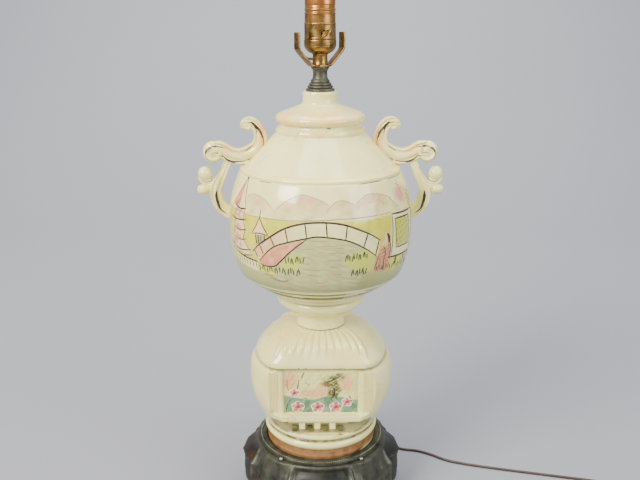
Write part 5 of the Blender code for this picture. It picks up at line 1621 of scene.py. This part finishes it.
def make_plug(vinyl):
    """A moulded two-blade plug with grip ridges and a tapered tail."""
    rows, count = [], 36
    for z in np.linspace(0.6, 30.6, 56):
        half_x = float(np.interp(z, (0.6, 8.6, 12.0, 16.6, 26.6, 30.6), (3.0, 4.6, 8.4, 11.4, 12.4, 11.8)))
        half_y = float(np.interp(z, (0.6, 8.6, 12.0, 16.6, 26.6, 30.6), (3.0, 4.4, 5.6, 6.1, 6.3, 5.8)))
        grip = 1.0 - 0.05 * (0.5 + 0.5 * math.cos(math.tau * z / 3.0)) * (14.0 < z < 26.0)
        for a in np.linspace(0.0, math.tau, count, endpoint=False):
            rows.append((half_x * grip * math.copysign(abs(math.cos(a)) ** 0.8, math.cos(a)),
                         half_y * grip * math.copysign(abs(math.sin(a)) ** 0.8, math.sin(a)), z))
    faces = grid_faces(56, count)
    faces += [tuple(reversed(range(count))), tuple(range(55 * count, 56 * count))]
    plug = outward(mesh_object("moulded_plug", rows, faces, vinyl))
    quat = Vector((-0.8, -0.6, 0.0)).to_track_quat("Z", "Y")
    plug.data.transform(Matrix.Translation(Vector(TAIL_ROUTE[-1]) * MM) @ quat.to_matrix().to_4x4())
    return finish_piece(plug, "lamp", "brown_rubber", "plug_body")


# ---------------------------------------------------------------- the rest of the CAD nodes


def dress_frame():
    """Gives each CAD node that stays in view its real finish."""
    finishes = {
        "zinc_plate": ("base_washer", "base_nut", "lamp_pipe", "terminal_screw_neutral"),
        "aged_brass": ("terminal_screw_live", "plug_blade_left", "plug_blade_right"),
        "wool_felt": ("foot_pad_1", "foot_pad_2", "foot_pad_3", "foot_pad_4", "base_felt", "urn_felt"),
        "fibre_card": ("shell_liner",),
        "phenolic_moulding": ("socket_insulator",),
        "brown_flex": ("cord_inside",),
    }
    for finish, nodes in finishes.items():
        for name in nodes:
            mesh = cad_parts[name].data
            mesh.materials.clear()
            mesh.materials.append(FINISHES[finish])


# ---------------------------------------------------------------- stage


def area_light(name, place, aim, size, power, colour="#FFFFFF"):
    light = bpy.data.lights.new(name, "AREA")
    light.shape = "RECTANGLE"
    light.size, light.size_y = size
    light.energy = power
    light.color = srgb(colour)
    obj = bpy.data.objects.new(name, light)
    obj.location = place
    obj.rotation_euler = (Vector(aim) - Vector(place)).to_track_quat("-Z", "Y").to_euler()
    bpy.context.scene.collection.objects.link(obj)


def make_stage():
    """A pale grey sweep, a large soft light at the left, a weaker one at the right, and the camera."""
    back = [(-4000.0, 0.0), (-1500.0, 0.0), (0.0, 0.0)]
    turns = np.radians(np.arange(0, 81, 2))
    back += [(1200.0 + 2400.0 * math.sin(a), 2400.0 - 2400.0 * math.cos(a)) for a in turns]
    points = [(x, y, z - 0.05) for y, z in back for x in (-5200.0, 5200.0)]
    floor = mesh_object("studio_sweep", points, grid_faces(len(back), 2, around=False),
                        FINISHES["studio_paper"], 80.0)
    floor.data.flip_normals()
    area_light("key", (-1.5, -1.5, 1.75), (0.0, 0.0, 0.32), (1.1, 1.1), 125.0, "#FFFAF2")
    area_light("fill", (1.7, -1.2, 1.1), (0.0, 0.0, 0.3), (1.2, 1.4), 36.0, "#F4F6FF")
    area_light("top", (0.0, 0.3, 2.3), (0.0, 0.0, 0.3), (1.6, 1.6), 58.0)
    area_light("backdrop", (0.0, 1.4, 2.4), (0.0, 3.6, 0.9), (3.0, 1.2), 120.0)
    world = bpy.data.worlds.new("studio")
    world.use_nodes = True
    world.node_tree.nodes["Background"].inputs["Color"].default_value = (*srgb("#E6E8EC"), 1.0)
    world.node_tree.nodes["Background"].inputs["Strength"].default_value = 0.85
    bpy.context.scene.world = world
    lens = bpy.data.cameras.new("camera")
    lens.sensor_width = 36.0
    lens.lens = 42.19
    lens.clip_start, lens.clip_end = 0.05, 40.0
    camera = bpy.data.objects.new("camera", lens)
    down, roll = math.radians(90.0 - 16.49), math.radians(-0.15)
    camera.matrix_world = (
        Matrix.Translation((-0.0007, -0.873, 0.593))
        @ Matrix.Rotation(down, 4, "X")
        @ Matrix.Rotation(roll, 4, "Z")
    )
    bpy.context.scene.collection.objects.link(camera)
    bpy.context.scene.camera = camera


# ---------------------------------------------------------------- operators and panel


class URNLAMP_OT_finishes(bpy.types.Operator):
    """Make the finishes and dress the CAD nodes that stay in view"""

    bl_idname = "urn_lamp.finishes"
    bl_label = "Finishes"

    def execute(self, context):
        make_finishes()
        two_tone("mauve_enamel", srgb("#7D6A60"), srgb("#9A857A"), 6.0, (0.2, 0.4), 0.0, 0.2)
        two_tone("green_enamel", srgb("#39452A"), srgb("#55603A"), 6.0, (0.2, 0.4), 0.0, 0.2)
        dress_frame()
        return {"FINISHED"}


class URNLAMP_OT_base(bpy.types.Operator):
    """Build the cast base, the beaded gallery ring and its screws"""

    bl_idname = "urn_lamp.base"
    bl_label = "Base"

    def execute(self, context):
        make_base_casting()
        make_gallery_ring()
        make_ring_screws()
        return {"FINISHED"}


class URNLAMP_OT_lower_body(bpy.types.Operator):
    """Build the pavilion-shaped lower body with its roof, flutes, fret band and painted windows"""

    bl_idname = "urn_lamp.lower_body"
    bl_label = "Lower body"

    def execute(self, context):
        make_lower_body()
        make_pavilion_trim()
        make_window_scene()
        return {"FINISHED"}


class URNLAMP_OT_urn(bpy.types.Operator):
    """Build the urn with its painted drum and line work"""

    bl_idname = "urn_lamp.urn"
    bl_label = "Urn"

    def execute(self, context):
        make_urn()
        make_drum_lines()
        return {"FINISHED"}


class URNLAMP_OT_handles(bpy.types.Operator):
    """Build the two scroll handles"""

    bl_idname = "urn_lamp.handles"
    bl_label = "Handles"

    def execute(self, context):
        make_handle(-1, "left")
        make_handle(1, "right")
        return {"FINISHED"}


class URNLAMP_OT_neck(bpy.types.Operator):
    """Build the neck turning and the harp saddle"""

    bl_idname = "urn_lamp.neck"
    bl_label = "Neck and saddle"

    def execute(self, context):
        make_neck()
        make_saddle()
        return {"FINISHED"}


class URNLAMP_OT_socket(bpy.types.Operator):
    """Build the bulb socket, its set screw, its inside and the switch key"""

    bl_idname = "urn_lamp.socket"
    bl_label = "Socket"

    def execute(self, context):
        make_socket_body()
        make_set_screw()
        make_socket_inside()
        make_switch_key()
        return {"FINISHED"}


class URNLAMP_OT_cord(bpy.types.Operator):
    """Lay the mains cord with its boot, coil, tie and plug"""

    bl_idname = "urn_lamp.cord"
    bl_label = "Cord"

    def execute(self, context):
        make_cord()
        return {"FINISHED"}


class URNLAMP_OT_stage(bpy.types.Operator):
    """Set up the floor, the lights and the camera"""

    bl_idname = "urn_lamp.stage"
    bl_label = "Stage"

    def execute(self, context):
        make_stage()
        return {"FINISHED"}


STEPS = (
    URNLAMP_OT_finishes,
    URNLAMP_OT_stage,
    URNLAMP_OT_base,
    URNLAMP_OT_lower_body,
    URNLAMP_OT_urn,
    URNLAMP_OT_handles,
    URNLAMP_OT_neck,
    URNLAMP_OT_socket,
    URNLAMP_OT_cord,
)


class URNLAMP_PT_panel(bpy.types.Panel):
    """The lamp's sizes, colours and building steps"""

    bl_idname = "URNLAMP_PT_panel"
    bl_label = "Ceramic urn lamp"
    bl_space_type = "VIEW_3D"
    bl_region_type = "UI"
    bl_category = "Urn Lamp"

    def draw(self, context):
        for group in (context.scene.urn_lamp_sizes, context.scene.urn_lamp_colours):
            for name in group.__annotations__:
                self.layout.prop(group, name)
        for step in STEPS:
            self.layout.operator(step.bl_idname)


CLASSES = (UrnLampSizes, UrnLampColours, *STEPS, URNLAMP_PT_panel)


def register():
    for cls in CLASSES:
        bpy.utils.register_class(cls)
    bpy.types.Scene.urn_lamp_sizes = bpy.props.PointerProperty(type=UrnLampSizes)
    bpy.types.Scene.urn_lamp_colours = bpy.props.PointerProperty(type=UrnLampColours)


def unregister():
    del bpy.types.Scene.urn_lamp_colours
    del bpy.types.Scene.urn_lamp_sizes
    for cls in reversed(CLASSES):
        bpy.utils.unregister_class(cls)


def main():
    register()
    bpy.ops.urn_lamp.finishes()
    bpy.ops.urn_lamp.stage()
    bpy.ops.urn_lamp.base()
    bpy.ops.urn_lamp.lower_body()
    bpy.ops.urn_lamp.urn()
    bpy.ops.urn_lamp.handles()
    bpy.ops.urn_lamp.neck()
    bpy.ops.urn_lamp.socket()
    bpy.ops.urn_lamp.cord()


if __name__ == "__main__":
    main()
